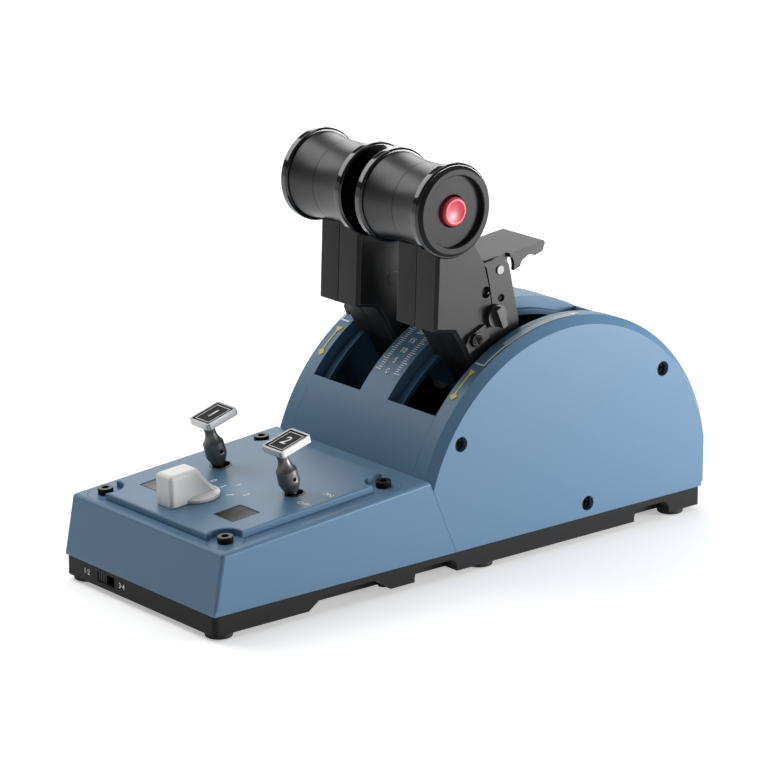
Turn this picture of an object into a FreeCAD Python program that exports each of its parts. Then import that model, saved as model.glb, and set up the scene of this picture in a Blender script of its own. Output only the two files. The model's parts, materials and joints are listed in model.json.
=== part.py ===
import FreeCAD, Part
import math
import os
import Sketcher

# Throttle quadrant: a sloping switch console in front of a drum with two slots,
# and two levers with cross grips, reverser paddles and quarter-turn locks.
# +X is the pilot's right, +Y points away from the pilot, +Z is up. Millimetres.

doc = FreeCAD.newDocument("throttle_quadrant")
sheet = doc.addObject("Spreadsheet::Sheet", "Sizes")
Vector = FreeCAD.Vector

SIZES = {
    # housing
    "overall_width": 110, "overall_length": 285.8, "foot_height": 2.4, "foot_radius": 6.1,
    "tray_height": 8.9, "tray_inset": 0.7, "tray_floor": 2.2, "rail_width": 12.2,
    "wall": 2.4, "edge_round": 1.8, "lip_height": 2.2, "lip_step": 0.4,
    "console_front_height": 27, "console_front_lean": 5.1, "console_slope": 4.5,
    "seam_run": 15.8,
    # drum
    "rear_flat": 5.5, "pivot_height": 18.3, "drum_radius": 88.7, "cheek_chamfer": 3.8,
    "cheek_depth": 11.96, "band_half": 9.7, "slot_front_angle": 142.6, "slot_rear_angle": 61,
    "rim_depth": 5.6, "guard_wall": 2.2, "ledge_width": 4.7,
    # top plate
    "plate_margin": 9.4, "plate_start": 5.5, "plate_length": 96.5, "plate_rise": 3.2,
    "plate_sink": 1.2, "ear_radius": 8, "ear_inset_side": 2.2, "ear_inset_end": 4.6,
    "window_width": 13.3, "window_length": 14.3, "window_spread": 26.8, "window_at": 29.2,
    # switches
    "toggle_spread": 26.2, "toggle_at": 61.2, "toggle_lean": 12, "toggle_pivot_depth": 4.2,
    "stem_radius": 2, "barrel_radius": 4.85, "neck_radius": 2.5, "sleeve_start": 5.6,
    "barrel_start": 9.8, "barrel_end": 16.2, "neck_start": 22, "head_at": 27.4,
    "head_width": 13, "head_length": 15.9, "head_height": 3, "head_offset": 3.9,
    "knob_at": 30.2, "knob_aside": 3.5, "knob_width": 11.8, "knob_front": 17.6,
    "knob_height": 14.4, "skirt_radius": 10.6, "skirt_height": 2.4, "knob_shaft_radius": 3,
    "slide_from_side": 24.3, "slide_width": 12.6, "slide_height": 4.6, "slide_travel": 6,
    # levers
    "lever_lean": 23.7, "lever_play_inner": 3.3, "lever_play_outer": 2.04,
    "grip_rise": 71.3, "grip_inner_end": 5, "grip_short": 5.8, "grip_radius": 19.8, "grip_waist": 18.3,
    "ring_radius": 21.3, "ring_width": 4.4, "button_radius": 7, "button_travel": 1.5,
    "core_side": 4, "hub_radius": 9, "shaft_radius": 4, "bracket_thickness": 1.5,
    "pin_radius": 1.6, "lock_radius": 5.3,
    # fits
    "gap": 0.3, "fit": 0.05, "seam_gap": 0.2,
}
for row, (alias, number) in enumerate(SIZES.items(), start=1):
    sheet.set(f"A{row}", alias)
    sheet.set(f"B{row}", str(number))
    sheet.setAlias(f"B{row}", alias)
doc.recompute()


class Size:
    """A length or angle that keeps the sheet expression it comes from."""

    def __init__(self, value, text):
        self.value = float(value)
        self.text = text

    def __add__(self, other):
        other = size(other)
        return Size(self.value + other.value, f"({self.text} + {other.text})")

    def __sub__(self, other):
        other = size(other)
        return Size(self.value - other.value, f"({self.text} - {other.text})")

    def __mul__(self, other):
        other = size(other)
        return Size(self.value * other.value, f"({self.text} * {other.text})")

    def __truediv__(self, other):
        other = size(other)
        return Size(self.value / other.value, f"({self.text} / {other.text})")

    def __radd__(self, other):
        return size(other) + self

    def __rsub__(self, other):
        return size(other) - self

    def __rmul__(self, other):
        return size(other) * self

    def __neg__(self):
        return Size(-self.value, f"(-1 * {self.text})")


def size(number):
    if isinstance(number, Size):
        return number
    return Size(number, f"({float(number):.6f})")


def cell(alias):
    return Size(sheet.get(alias), f"Sizes.{alias}")


def sine(angle):
    return Size(math.sin(math.radians(angle.value)), f"sin({angle.text})")


def cosine(angle):
    return Size(math.cos(math.radians(angle.value)), f"cos({angle.text})")


def root(number):
    return Size(math.sqrt(number.value), f"sqrt({number.text})")


def polar(radius, angle, y=0, z=0):
    """Point at an angle from +Y towards +Z round the centre (y, z)."""
    angle = size(angle)
    return (y + radius * cosine(angle), z + radius * sine(angle))


# ---------------------------------------------------------------- derived places
places = doc.addObject("App::VarSet", "Places")


def named(name, number):
    """Keep a worked-out place as a property, so that later expressions stay short."""
    number = size(number)
    places.addProperty("App::PropertyFloat", name)
    places.setExpression(name, number.text)
    return Size(number.value, f"Places.{name}")


wall = cell("wall")
gap = cell("gap")
fit = cell("fit")
slope = cell("console_slope")
lever_lean = cell("lever_lean")
drum_radius = cell("drum_radius")
plate_rise = cell("plate_rise")
pivot_z = cell("pivot_height")
half_width = named("half_width", cell("overall_width") / 2)
cheek_inner = named("cheek_inner", half_width - cell("cheek_depth"))
plate_half = named("plate_half", half_width - cell("plate_margin"))
front = named("front", -cell("overall_length") / 2)
rear = named("rear", cell("overall_length") / 2)
tray_bottom = cell("foot_height")
tray_top = named("tray_top", cell("foot_height") + cell("tray_height"))
tray_inner = named("tray_inner", tray_bottom + cell("tray_floor"))
pivot_back = named("pivot_back", drum_radius - cell("rear_flat"))
pivot_y = named("pivot_y", rear - pivot_back)
rim_inner_radius = named("rim_inner_radius", drum_radius - cell("rim_depth"))
console_front_y = named("console_front_y", front + cell("console_front_lean"))
console_front_z = named("console_front_z", tray_top + cell("console_front_height"))

# The console's sloping top runs up until it meets the drum.
rise = named("console_rise", sine(slope) / cosine(slope))
lift = named("console_lift", console_front_z - pivot_z + rise * (pivot_y - console_front_y))
spread = named("console_spread", 1 + rise * rise)
inside = named("console_inside", lift * lift * rise * rise
               - spread * (lift * lift - drum_radius * drum_radius))
console_end_y = named("console_end_y", pivot_y - (lift * rise + root(inside)) / spread)
console_end_z = named("console_end_z",
                      console_front_z + rise * (console_end_y - console_front_y))
seam_bottom_y = named("seam_bottom_y", console_end_y + cell("seam_run"))
drum_rear_z = named("drum_rear_z",
                    pivot_z + root(drum_radius * drum_radius - pivot_back * pivot_back))
lever_inner = named("lever_inner", cell("band_half") + cell("lever_play_inner"))
lever_outer = named("lever_outer", cheek_inner - cell("lever_play_outer"))
lever_width = named("lever_width", lever_outer - lever_inner)
plate_end = named("plate_end", cell("plate_start") + cell("plate_length"))
screw_x = named("screw_x", plate_half - cell("ear_inset_side"))
screw_rows = (named("screw_row_front", cell("plate_start") + cell("ear_inset_end")),
              named("screw_row_rear", plate_end - cell("ear_inset_end")))
core_inner = named("core_inner", lever_inner + cell("core_side"))
core_width = named("core_width", lever_width - cell("core_side") * 2)

console_seat = (console_front_y, console_front_z, slope)
lever_seat = (pivot_y, pivot_z, lever_lean)


# ---------------------------------------------------------------- feature helpers
def bind(target, prop, number):
    number = size(number)
    target.setExpression(prop, number.text)


def new_body(label, seat=None, x=0):
    body = doc.addObject("PartDesign::Body", label)
    body.Label = label
    if seat is not None:
        seat_y, seat_z, angle = seat
        turn = FreeCAD.Rotation(Vector(1, 0, 0), angle.value)
        body.Placement = FreeCAD.Placement(Vector(size(x).value, seat_y.value, seat_z.value), turn)
        bind(body, "Placement.Base.x", x)
        bind(body, "Placement.Base.y", seat_y)
        bind(body, "Placement.Base.z", seat_z)
        bind(body, "Placement.Rotation.Angle", angle)
    return body


def new_sketch(body, role, offset=0, shift=(0, 0), tilt=None):
    sketch = body.newObject("Sketcher::SketchObject", body.Label + "_sketch")
    plane = [part for part in body.Origin.OriginFeatures if part.Role == role][0]
    sketch.AttachmentSupport = [(plane, "")]
    sketch.MapMode = "FlatFace"
    if tilt is not None:
        turned = FreeCAD.Rotation(Vector(1, 0, 0), tilt.value)
        sketch.AttachmentOffset = FreeCAD.Placement(Vector(0, 0, 0), turned)
        bind(sketch, "AttachmentOffset.Rotation.Angle", tilt)
    bind(sketch, "AttachmentOffset.Base.x", shift[0])
    bind(sketch, "AttachmentOffset.Base.y", shift[1])
    bind(sketch, "AttachmentOffset.Base.z", offset)
    return sketch


def console_sketch(body, height=0):
    """Sketch parallel to the console's sloping top, a height above it."""
    height = size(height)
    y = console_front_y - height * sine(slope)
    z = console_front_z + height * cosine(slope)
    return new_sketch(body, "XY_Plane", z, (0, y), tilt=slope)


def constrain(sketch, kind, items, number):
    index = sketch.addConstraint(Sketcher.Constraint(kind, *items, number.value))
    bind(sketch, f"Constraints[{index}]", number)


def add_outline(sketch, points, arcs=None):
    """Closed outline through points; arcs maps a segment to (radius, side of its centre)."""
    arcs = arcs or {}
    points = [(size(a), size(b)) for a, b in points]
    count = len(points)
    first = sketch.GeometryCount
    for index in range(count):
        start = Vector(points[index][0].value, points[index][1].value, 0)
        after = points[(index + 1) % count]
        end = Vector(after[0].value, after[1].value, 0)
        if index in arcs:
            radius, side = arcs[index]
            chord = end - start
            rise = math.sqrt(max(size(radius).value ** 2 - (chord.Length / 2) ** 2, 0))
            normal = Vector(-chord.y, chord.x, 0).normalize()
            centre = (start + end) / 2 + normal * rise * side
            bulge = centre - normal * side * size(radius).value
            sketch.addGeometry(Part.Arc(start, bulge, end), False)
        else:
            sketch.addGeometry(Part.LineSegment(start, end), False)
    ends = []
    for index in range(count):
        tip = Vector(points[index][0].value, points[index][1].value, 0)
        at_start = sketch.getPoint(first + index, 1).distanceToPoint(tip) < 1e-6
        ends.append((1, 2) if at_start else (2, 1))
    for index in range(count):
        following = (index + 1) % count
        joint = (first + index, ends[index][1], first + following, ends[following][0])
        sketch.addConstraint(Sketcher.Constraint("Coincident", *joint))
    for index, (a, b) in enumerate(points):
        constrain(sketch, "DistanceX", (first + index, ends[index][0]), a)
        constrain(sketch, "DistanceY", (first + index, ends[index][0]), b)
        if index in arcs:
            constrain(sketch, "Radius", (first + index,), size(arcs[index][0]))


def add_circle(sketch, a, b, radius):
    a, b, radius = size(a), size(b), size(radius)
    centre = Vector(a.value, b.value, 0)
    index = sketch.addGeometry(Part.Circle(centre, Vector(0, 0, 1), radius.value), False)
    constrain(sketch, "DistanceX", (index, 3), a)
    constrain(sketch, "DistanceY", (index, 3), b)
    constrain(sketch, "Radius", (index,), radius)


def add_box(sketch, left, right, low, high):
    add_outline(sketch, [(left, low), (right, low), (right, high), (left, high)])


def extrude(kind, sketch, length, symmetric=False, flip=False):
    body = sketch.getParentGeoFeatureGroup()
    feature = body.newObject("PartDesign::" + kind, body.Label + "_" + kind.lower())
    feature.Profile = sketch
    feature.Refine = True
    bind(feature, "Length", length)
    if symmetric:
        feature.SideType = "Symmetric"
    feature.Reversed = flip
    sketch.Visibility = False
    return feature


def volume_of(body):
    doc.recompute()
    return body.Shape.Volume


def pad(sketch, length, symmetric=False, flip=False):
    return extrude("Pad", sketch, length, symmetric, flip)


def pocket(sketch, length, symmetric=False, flip=False):
    body = sketch.getParentGeoFeatureGroup()
    before = volume_of(body)
    feature = extrude("Pocket", sketch, length, symmetric, flip)
    if volume_of(body) > before - 1e-3:
        raise RuntimeError(body.Label + ": a pocket cuts nothing")
    return feature


def turn(kind, sketch, angle=360, axis="H_Axis", symmetric=False):
    body = sketch.getParentGeoFeatureGroup()
    feature = body.newObject("PartDesign::" + kind, body.Label + "_" + kind.lower())
    feature.Profile = sketch
    feature.ReferenceAxis = (sketch, [axis])
    feature.Angle = size(angle).value
    feature.Midplane = symmetric
    feature.Refine = True
    return feature


def dress(kind, body, width, chosen):
    """Fillet or chamfer the edges of the body's last feature that chosen accepts."""
    doc.recompute()
    base = body.Tip
    names = []
    for number, edge in enumerate(base.Shape.Edges, start=1):
        if chosen(edge):
            names.append(f"Edge{number}")
    if not names:
        raise RuntimeError(body.Label + ": no edge to " + kind.lower())
    feature = body.newObject("PartDesign::" + kind, body.Label + "_" + kind.lower())
    feature.Base = (base, names)
    bind(feature, "Radius" if kind == "Fillet" else "Size", width)
    doc.recompute()
    if "Invalid" in feature.State or not feature.Shape.isValid():
        raise RuntimeError(body.Label + ": " + kind.lower() + " failed")
    return feature


def middle(edge):
    return edge.valueAt((edge.FirstParameter + edge.LastParameter) / 2)


def near(value, target, slack=0.02):
    return abs(value - size(target).value) < slack


def straight_along(edge, axis):
    if len(edge.Vertexes) != 2:
        return False
    run = edge.Vertexes[1].Point - edge.Vertexes[0].Point
    return run.Length > 1e-6 and abs(abs(run.normalize()[axis]) - 1) < 1e-6


def ring_of_points(body, role, offset, spots, radius, length, flip=False, cut=False):
    sketch = new_sketch(body, role, offset)
    for a, b in spots:
        add_circle(sketch, a, b, radius)
    if cut:
        return pocket(sketch, length, flip=flip)
    return pad(sketch, length, flip=flip)


def solids_of(label, makers):
    """One node that holds several equal pieces: each piece is a body, joined as a compound."""
    pieces = [maker(f"{label}_{index}") for index, maker in enumerate(makers, start=1)]
    group = doc.addObject("Part::Compound", label)
    group.Label = label
    group.Links = pieces
    return group


exported = []


def keep(part):
    exported.append(part)
    return part


# ---------------------------------------------------------------- fasteners
def place(body, at, outward):
    """Stand a body's +Z along outward, with its origin at a point."""
    turned = FreeCAD.Rotation(Vector(0, 0, 1), outward)
    body.Placement = FreeCAD.Placement(Vector(*[size(part).value for part in at]), turned)
    for axis, part in zip("xyz", at):
        bind(body, "Placement.Base." + axis, part)


def screw(label, at, outward, head_radius, head_height, shank_radius, length, drive):
    """Screw with the top of its head at the origin and its shank towards -Z."""
    body = new_body(label)
    pad_sketch = new_sketch(body, "XY_Plane")
    add_circle(pad_sketch, 0, 0, head_radius)
    pad(pad_sketch, head_height, flip=True)
    shank = new_sketch(body, "XY_Plane", -size(head_height))
    add_circle(shank, 0, 0, shank_radius)
    pad(shank, length, flip=True)
    recess = new_sketch(body, "XY_Plane")
    if drive == "hex":
        flat = size(head_radius) * 0.5
        add_outline(recess, [polar(flat, 60 * corner) for corner in range(6)])
    else:
        arm = size(head_radius) * 0.62
        half = size(head_radius) * 0.16
        corners = [(arm, half), (half, half), (half, arm)]
        spots = []
        for quarter in range(4):
            for a, b in corners:
                spots.append([(a, b), (-b, a), (-a, -b), (b, -a)][quarter])
        add_outline(recess, spots)
    pocket(recess, size(head_height) * 0.55)
    place(body, at, outward)
    return body


def screw_set(label, spots, **kind):
    makers = []
    for at, outward in spots:
        makers.append(lambda name, at=at, outward=outward: screw(name, at, outward, **kind))
    return keep(solids_of(label, makers))


# ---------------------------------------------------------------- housing
base_screw_x = named("base_screw_x", half_width - wall - 3.7)
base_screw_rows = (front + 32, front + 98, pivot_y - 50, rear - 14)
foot_x = named("foot_x", half_width - cell("foot_radius") - 1)
foot_rows = (front + cell("foot_radius") + 1.6, front + 154, rear - 14)
board_spots = [(-28, rear - 46), (28, rear - 46), (-28, rear - 12), (28, rear - 12)]
board_z = named("board_z", tray_top + 1.6)


def cut_lip(body):
    """Set back the lowest band of the blue shells, as their shadow joint with the tray."""
    step = cell("lip_step")
    sketch = new_sketch(body, "XY_Plane", tray_top)
    add_box(sketch, -half_width - 4, half_width + 4, front - 4, rear + 4)
    add_box(sketch, -half_width + step, half_width - step, front + step, rear - step)
    pocket(sketch, cell("lip_height"), flip=True)


def make_tray():
    body = new_body("base_tray")
    inset = cell("tray_inset")
    outline = new_sketch(body, "XY_Plane", tray_bottom)
    add_box(outline, -half_width + inset, half_width - inset, front + inset, rear - inset)
    pad(outline, cell("tray_height"))
    dress("Fillet", body, 2.6, lambda edge: straight_along(edge, 2))
    bay = new_sketch(body, "XY_Plane", tray_top)
    rail = inset + cell("rail_width")
    add_box(bay, -half_width + rail, half_width - rail, front + inset + 2.4, rear - inset - 2.4)
    pocket(bay, cell("tray_height") - cell("tray_floor"))
    notch_z = tray_bottom + 5.8
    low = tray_bottom - 1
    for side in (-1, 1):
        sketch = new_sketch(body, "YZ_Plane", half_width * side)
        add_outline(sketch, [(front + 50, low), (front + 98.6, low), (front + 89.6, notch_z),
                             (front + 60.2, notch_z)])
        pocket(sketch, 9, flip=side < 0)
        for start, end in ((front + 111, front + 135.5), (front + 243, front + 265)):
            sketch = new_sketch(body, "YZ_Plane", half_width * side)
            add_outline(sketch, [(start, low), (end, low), (end, notch_z - 4),
                                 (end - 4, notch_z), (start + 4, notch_z),
                                 (start, notch_z - 4)], {2: (4, 1), 4: (4, 1)})
            pocket(sketch, 9, flip=side < 0)
    slot = new_sketch(body, "XZ_Plane", -front)
    slot_z = tray_bottom + 2.4
    slot_left = -half_width + cell("slide_from_side")
    add_box(slot, slot_left, slot_left + cell("slide_width"), slot_z,
            slot_z + cell("slide_height"))
    pocket(slot, 6)
    bosses = new_sketch(body, "XY_Plane", tray_inner)
    for x, y in board_spots:
        add_circle(bosses, x, y, 3)
    pad(bosses, board_z - tray_inner)
    spots = [(base_screw_x * side, y) for side in (-1, 1) for y in base_screw_rows]
    ring_of_points(body, "XY_Plane", tray_bottom, spots, 1.5 + fit, 12, cut=True, flip=True)
    ring_of_points(body, "XY_Plane", tray_bottom, spots, 3.1, 2.2, cut=True, flip=True)
    return keep(body)


def make_foot(label, x, y):
    body = new_body(label)
    sketch = new_sketch(body, "XY_Plane")
    add_circle(sketch, 0, 0, cell("foot_radius"))
    pad(sketch, cell("foot_height"))
    dress("Fillet", body, 0.8, lambda edge: near(middle(edge).z, 0, 0.01))
    body.Placement.Base = Vector(size(x).value, size(y).value, 0)
    bind(body, "Placement.Base.x", x)
    bind(body, "Placement.Base.y", y)
    return body


def make_feet():
    makers = []
    for side in (-1, 1):
        for y in foot_rows:
            makers.append(lambda name, x=foot_x * side, y=y: make_foot(name, x, y))
    return keep(solids_of("rubber_feet", makers))


def make_console_cover():
    body = new_body("console_cover")
    outline = new_sketch(body, "YZ_Plane")
    add_outline(outline, [(front, tray_top), (console_front_y, console_front_z),
                          (console_end_y, console_end_z), (seam_bottom_y, tray_top)])
    pad(outline, half_width * 2, symmetric=True)
    edge_y = half_width.value - 0.01

    def rounded(edge):
        spot = middle(edge)
        if near(spot.y, console_front_y) and near(spot.z, console_front_z):
            return True
        along_side = abs(spot.x) > edge_y
        on_seam = spot.y > console_end_y.value + 1
        on_bottom = near(spot.z, tray_top)
        return along_side and not on_seam and not on_bottom

    dress("Fillet", body, cell("edge_round"), rounded)
    hollow = new_sketch(body, "YZ_Plane")
    beyond = 6
    add_outline(hollow, [(front + wall, tray_top - 1),
                         (console_front_y + wall, console_front_z - wall),
                         (console_end_y + beyond, console_end_z - wall + rise * beyond),
                         (seam_bottom_y + beyond, tray_top - 1)])
    pocket(hollow, (half_width - wall) * 2, symmetric=True)
    recess = console_sketch(body)
    margin = size(0.2)
    add_box(recess, -plate_half - margin, plate_half + margin,
            cell("plate_start") - margin, plate_end + margin)
    pocket(recess, cell("plate_sink"))
    ears = console_sketch(body)
    for side in (-1, 1):
        for s in screw_rows:
            add_circle(ears, screw_x * side, s, cell("ear_radius") + 0.15)
    pocket(ears, cell("plate_sink"))
    window = console_sketch(body)
    add_box(window, -plate_half + 8, plate_half - 8,
            cell("plate_start") + 10, plate_end - 10)
    pocket(window, wall + 3)
    bosses = console_sketch(body, -cell("plate_sink"))
    for side in (-1, 1):
        for s in screw_rows:
            add_circle(bosses, screw_x * side, s, 3.6)
    pad(bosses, 8, flip=True)
    holes = console_sketch(body)
    for side in (-1, 1):
        for s in screw_rows:
            add_circle(holes, screw_x * side, s, 2 + fit)
    pocket(holes, 14)
    for y in base_screw_rows[:2]:
        posts = new_sketch(body, "XY_Plane", tray_top)
        for side in (-1, 1):
            add_circle(posts, base_screw_x * side, y, 3.75)
        pad(posts, console_front_z + rise * (y - console_front_y) - wall - tray_top)
        threads = new_sketch(body, "XY_Plane", tray_top)
        for side in (-1, 1):
            add_circle(threads, base_screw_x * side, y, 1.5 + fit)
        pocket(threads, 12, flip=True)
    cut_lip(body)
    return keep(body)


def sector(sketch, inner, outer, first, last):
    """Ring sector round the pivot, from the angle first down to the angle last."""
    points = [polar(inner, first, pivot_y, pivot_z), polar(outer, first, pivot_y, pivot_z),
              polar(outer, last, pivot_y, pivot_z), polar(inner, last, pivot_y, pivot_z)]
    add_outline(sketch, points, {1: (outer, -1), 3: (inner, 1)})


slot_front = cell("slot_front_angle")
slot_rear = cell("slot_rear_angle")
cheek_screws_at = [(drum_radius - 10.5, 147), (drum_radius - 10.3, 44.4), (size(10.6), -2.5)]


def make_quadrant_cover():
    body = new_body("quadrant_cover")
    half = cheek_inner - 0.1
    inner_back = rear - wall
    inner_reach = inner_back - pivot_y
    inner_rear_z = pivot_z + root(rim_inner_radius * rim_inner_radius
                                  - inner_reach * inner_reach)
    front_inner = polar(rim_inner_radius, 157, pivot_y, pivot_z)
    outline = new_sketch(body, "YZ_Plane")
    add_outline(outline,
                [(console_end_y + 0.15, console_end_z), (rear, drum_rear_z),
                 (rear, tray_top), (inner_back, tray_top), (inner_back, inner_rear_z),
                 front_inner],
                {0: (drum_radius, -1), 4: (rim_inner_radius, 1)})
    pad(outline, half * 2, symmetric=True)
    for side in (-1, 1):
        opening = new_sketch(body, "YZ_Plane", cell("band_half") * side)
        sector(opening, rim_inner_radius - 2, drum_radius + 3, slot_front, slot_rear)
        pocket(opening, half - cell("band_half") + 1, flip=side > 0)
    shell = drum_radius - 2.2
    groove = new_sketch(body, "YZ_Plane")
    sector(groove, rim_inner_radius - 1, shell, slot_front + 12, slot_rear - 36)
    pocket(groove, (cell("band_half") - 2) * 2, symmetric=True)
    for first, last in ((slot_front + 12, slot_front + 2.5), (slot_rear - 2.5, slot_rear - 36)):
        under = new_sketch(body, "YZ_Plane")
        sector(under, rim_inner_radius - 1, shell, first, last)
        pocket(under, (half - 2.2) * 2, symmetric=True)
    inlet = new_sketch(body, "XZ_Plane", -rear)
    add_box(inlet, -5, 5, board_z + 1.5, board_z + 5.3)
    pocket(inlet, wall + 2, flip=True)
    cut_lip(body)
    return keep(body)


def make_slot_guard():
    body = new_body("slot_guard")
    outer = rim_inner_radius - 0.1
    half = cheek_inner - 0.4
    ring = new_sketch(body, "YZ_Plane")
    sector(ring, outer - cell("guard_wall"), outer, 152, 38)
    pad(ring, half * 2, symmetric=True)
    ledge = cell("ledge_width")
    for side in (-1, 1):
        sketch = new_sketch(body, "YZ_Plane", (cell("band_half") + ledge) * side)
        sector(sketch, outer - 6, outer + 3, slot_front, slot_rear)
        pocket(sketch, cheek_inner - cell("band_half") - ledge * 2, flip=side > 0)
    for side in (-1, 1):
        bosses = new_sketch(body, "YZ_Plane", (half - 3.4) * side)
        for radius, angle in cheek_screws_at[:2]:
            y, z = polar(radius, angle, pivot_y, pivot_z)
            add_circle(bosses, y, z, 4.2)
        pad(bosses, 3.4, flip=side < 0)
        holes = new_sketch(body, "YZ_Plane", half * side)
        for radius, angle in cheek_screws_at[:2]:
            y, z = polar(radius, angle, pivot_y, pivot_z)
            add_circle(holes, y, z, 1.5 + fit)
        pocket(holes, 5, flip=side < 0)
    return keep(body)


def make_cheek(label, side):
    body = new_body(label)
    inner = cheek_inner * side
    flip = side < 0
    thickness = half_width - cheek_inner
    outline = new_sketch(body, "YZ_Plane", inner)
    add_outline(outline,
                [(console_end_y + 0.15, console_end_z), (rear, drum_rear_z),
                 (rear, tray_top), (seam_bottom_y + 0.15, tray_top)],
                {0: (drum_radius, -1)})
    pad(outline, thickness, flip=flip)
    outer_x = (half_width * side).value

    def rim_edge(edge):
        spot = middle(edge)
        return near(spot.x, outer_x) and spot.z > drum_rear_z.value + 5 and len(
            edge.Vertexes) == 2 and edge.Length > 100

    dress("Chamfer", body, cell("cheek_chamfer"), rim_edge)
    hollow = new_sketch(body, "YZ_Plane", inner)
    inner_back = rear - wall
    reach = inner_back - pivot_y
    inner_rear_z = pivot_z + root(rim_inner_radius * rim_inner_radius - reach * reach)
    add_outline(hollow,
                [polar(rim_inner_radius, 160, pivot_y, pivot_z), (inner_back, inner_rear_z),
                 (inner_back, tray_top - 1), (seam_bottom_y - 12, tray_top - 1)],
                {0: (rim_inner_radius, -1)})
    pocket(hollow, thickness - wall, flip=not flip)
    groove = new_sketch(body, "YZ_Plane", inner + 2.2 * side)
    sector(groove, rim_inner_radius - 1, drum_radius - wall, 157, 24)
    pocket(groove, thickness - 2.2 - wall, flip=not flip)
    bosses = new_sketch(body, "YZ_Plane", inner + 0.3 * side)
    for radius, angle in cheek_screws_at:
        y, z = polar(radius, angle, pivot_y, pivot_z)
        add_circle(bosses, y, z, 4.6)
    pad(bosses, thickness - wall, flip=flip)
    sinks = new_sketch(body, "YZ_Plane", half_width * side)
    for radius, angle in cheek_screws_at:
        y, z = polar(radius, angle, pivot_y, pivot_z)
        add_circle(sinks, y, z, 3.5)
    pocket(sinks, 4.6, flip=flip)
    holes = new_sketch(body, "YZ_Plane", half_width * side)
    for radius, angle in cheek_screws_at:
        y, z = polar(radius, angle, pivot_y, pivot_z)
        add_circle(holes, y, z, 1.5 + fit)
    pocket(holes, thickness + 2, flip=flip)
    posts = new_sketch(body, "XY_Plane", tray_top)
    for y in base_screw_rows[2:]:
        add_circle(posts, base_screw_x * side, y, 3.75)
    pad(posts, 14)
    threads = new_sketch(body, "XY_Plane", tray_top)
    for y in base_screw_rows[2:]:
        add_circle(threads, base_screw_x * side, y, 1.5 + fit)
    pocket(threads, 12, flip=True)
    cut_lip(body)
    return keep(body)


def make_housing_screws():
    sides = (-1, 1)
    sink = half_width - 2.2
    cheek_spots = []
    for side in sides:
        for radius, angle in cheek_screws_at:
            y, z = polar(radius, angle, pivot_y, pivot_z)
            cheek_spots.append(((sink * side, y, z), Vector(side, 0, 0)))
    screw_set("cheek_screws", cheek_spots, head_radius=2.9, head_height=2.2,
              shank_radius=1.5, length=10.6, drive="cross")
    base_spots = []
    for side in sides:
        for y in base_screw_rows:
            base_spots.append(((base_screw_x * side, y, tray_bottom + 0.2),
                               Vector(0, 0, -1)))
    screw_set("base_screws", base_spots, head_radius=2.9, head_height=2,
              shank_radius=1.5, length=15, drive="cross")
    normal = Vector(0, -math.sin(math.radians(slope.value)), math.cos(math.radians(slope.value)))
    head = size(2.9)
    plate_spots = []
    for side in sides:
        for s in screw_rows:
            y = console_front_y + s * cosine(slope) - head * sine(slope)
            z = console_front_z + s * sine(slope) + head * cosine(slope)
            plate_spots.append(((screw_x * side, y, z), normal))
    screw_set("plate_screws", plate_spots, head_radius=3.5, head_height=2.9,
              shank_radius=2, length=8, drive="hex")


# ---------------------------------------------------------------- console switches
def plate_body(label, x=0, s=0, n=0):
    """Body whose own axes lie in the console's top: x across, y up the slope, z out of it."""
    s, n = size(s), size(n)
    y = console_front_y + s * cosine(slope) - n * sine(slope)
    z = console_front_z + s * sine(slope) + n * cosine(slope)
    return new_body(label, (y, z, slope), x)


window_x = cell("window_spread")
window_s = cell("window_at")
toggle_x = cell("toggle_spread")
toggle_s = cell("toggle_at")
toggle_pivot = plate_rise - cell("toggle_pivot_depth")
bushing_inner = named("bushing_inner", cell("stem_radius") + 2.2)
board_depth = named("board_depth", size(13.2))
standoff_x = named("standoff_x", plate_half - 11.6)
standoffs = [(standoff_x * side, s) for side in (-1, 1) for s in (20, 86)]


def make_top_plate():
    body = plate_body("top_plate")
    half = plate_half
    start = cell("plate_start")
    sink = cell("plate_sink")
    base = new_sketch(body, "XY_Plane")
    add_box(base, -half, half, start, plate_end)
    pad(base, sink, flip=True)
    panel = new_sketch(body, "XY_Plane")
    add_box(panel, -half, half, start, plate_end)
    pad(panel, plate_rise)
    ears = new_sketch(body, "XY_Plane")
    scallops = new_sketch(body, "XY_Plane")
    for side in (-1, 1):
        for s in screw_rows:
            add_circle(ears, screw_x * side, s, cell("ear_radius"))
            add_circle(scallops, screw_x * side, s, cell("ear_radius"))
    pad(ears, sink, flip=True)
    pocket(scallops, plate_rise, flip=True)
    dress("Fillet", body, 0.8, lambda edge: near(middle(edge).z, plate_rise))
    holes = new_sketch(body, "XY_Plane", plate_rise)
    for side in (-1, 1):
        for s in screw_rows:
            add_circle(holes, screw_x * side, s, 2 + fit)
        add_circle(holes, toggle_x * side, toggle_s, bushing_inner + 0.9)
    add_circle(holes, -cell("knob_aside"), cell("knob_at"), cell("knob_shaft_radius") + fit)
    pocket(holes, plate_rise + sink + 1)
    width = cell("window_width")
    length = cell("window_length")
    for inset, depth in ((0, 2.1), (1.8, plate_rise + sink + 1)):
        seats = new_sketch(body, "XY_Plane", plate_rise)
        for side in (-1, 1):
            add_box(seats, window_x * side - width / 2 + inset,
                    window_x * side + width / 2 - inset,
                    window_s - length / 2 + inset, window_s + length / 2 - inset)
        pocket(seats, depth)
    posts = new_sketch(body, "XY_Plane", -sink)
    for x, s in standoffs:
        add_circle(posts, x, s, 2.6)
    pad(posts, board_depth - sink, flip=True)
    return keep(body)


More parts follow.
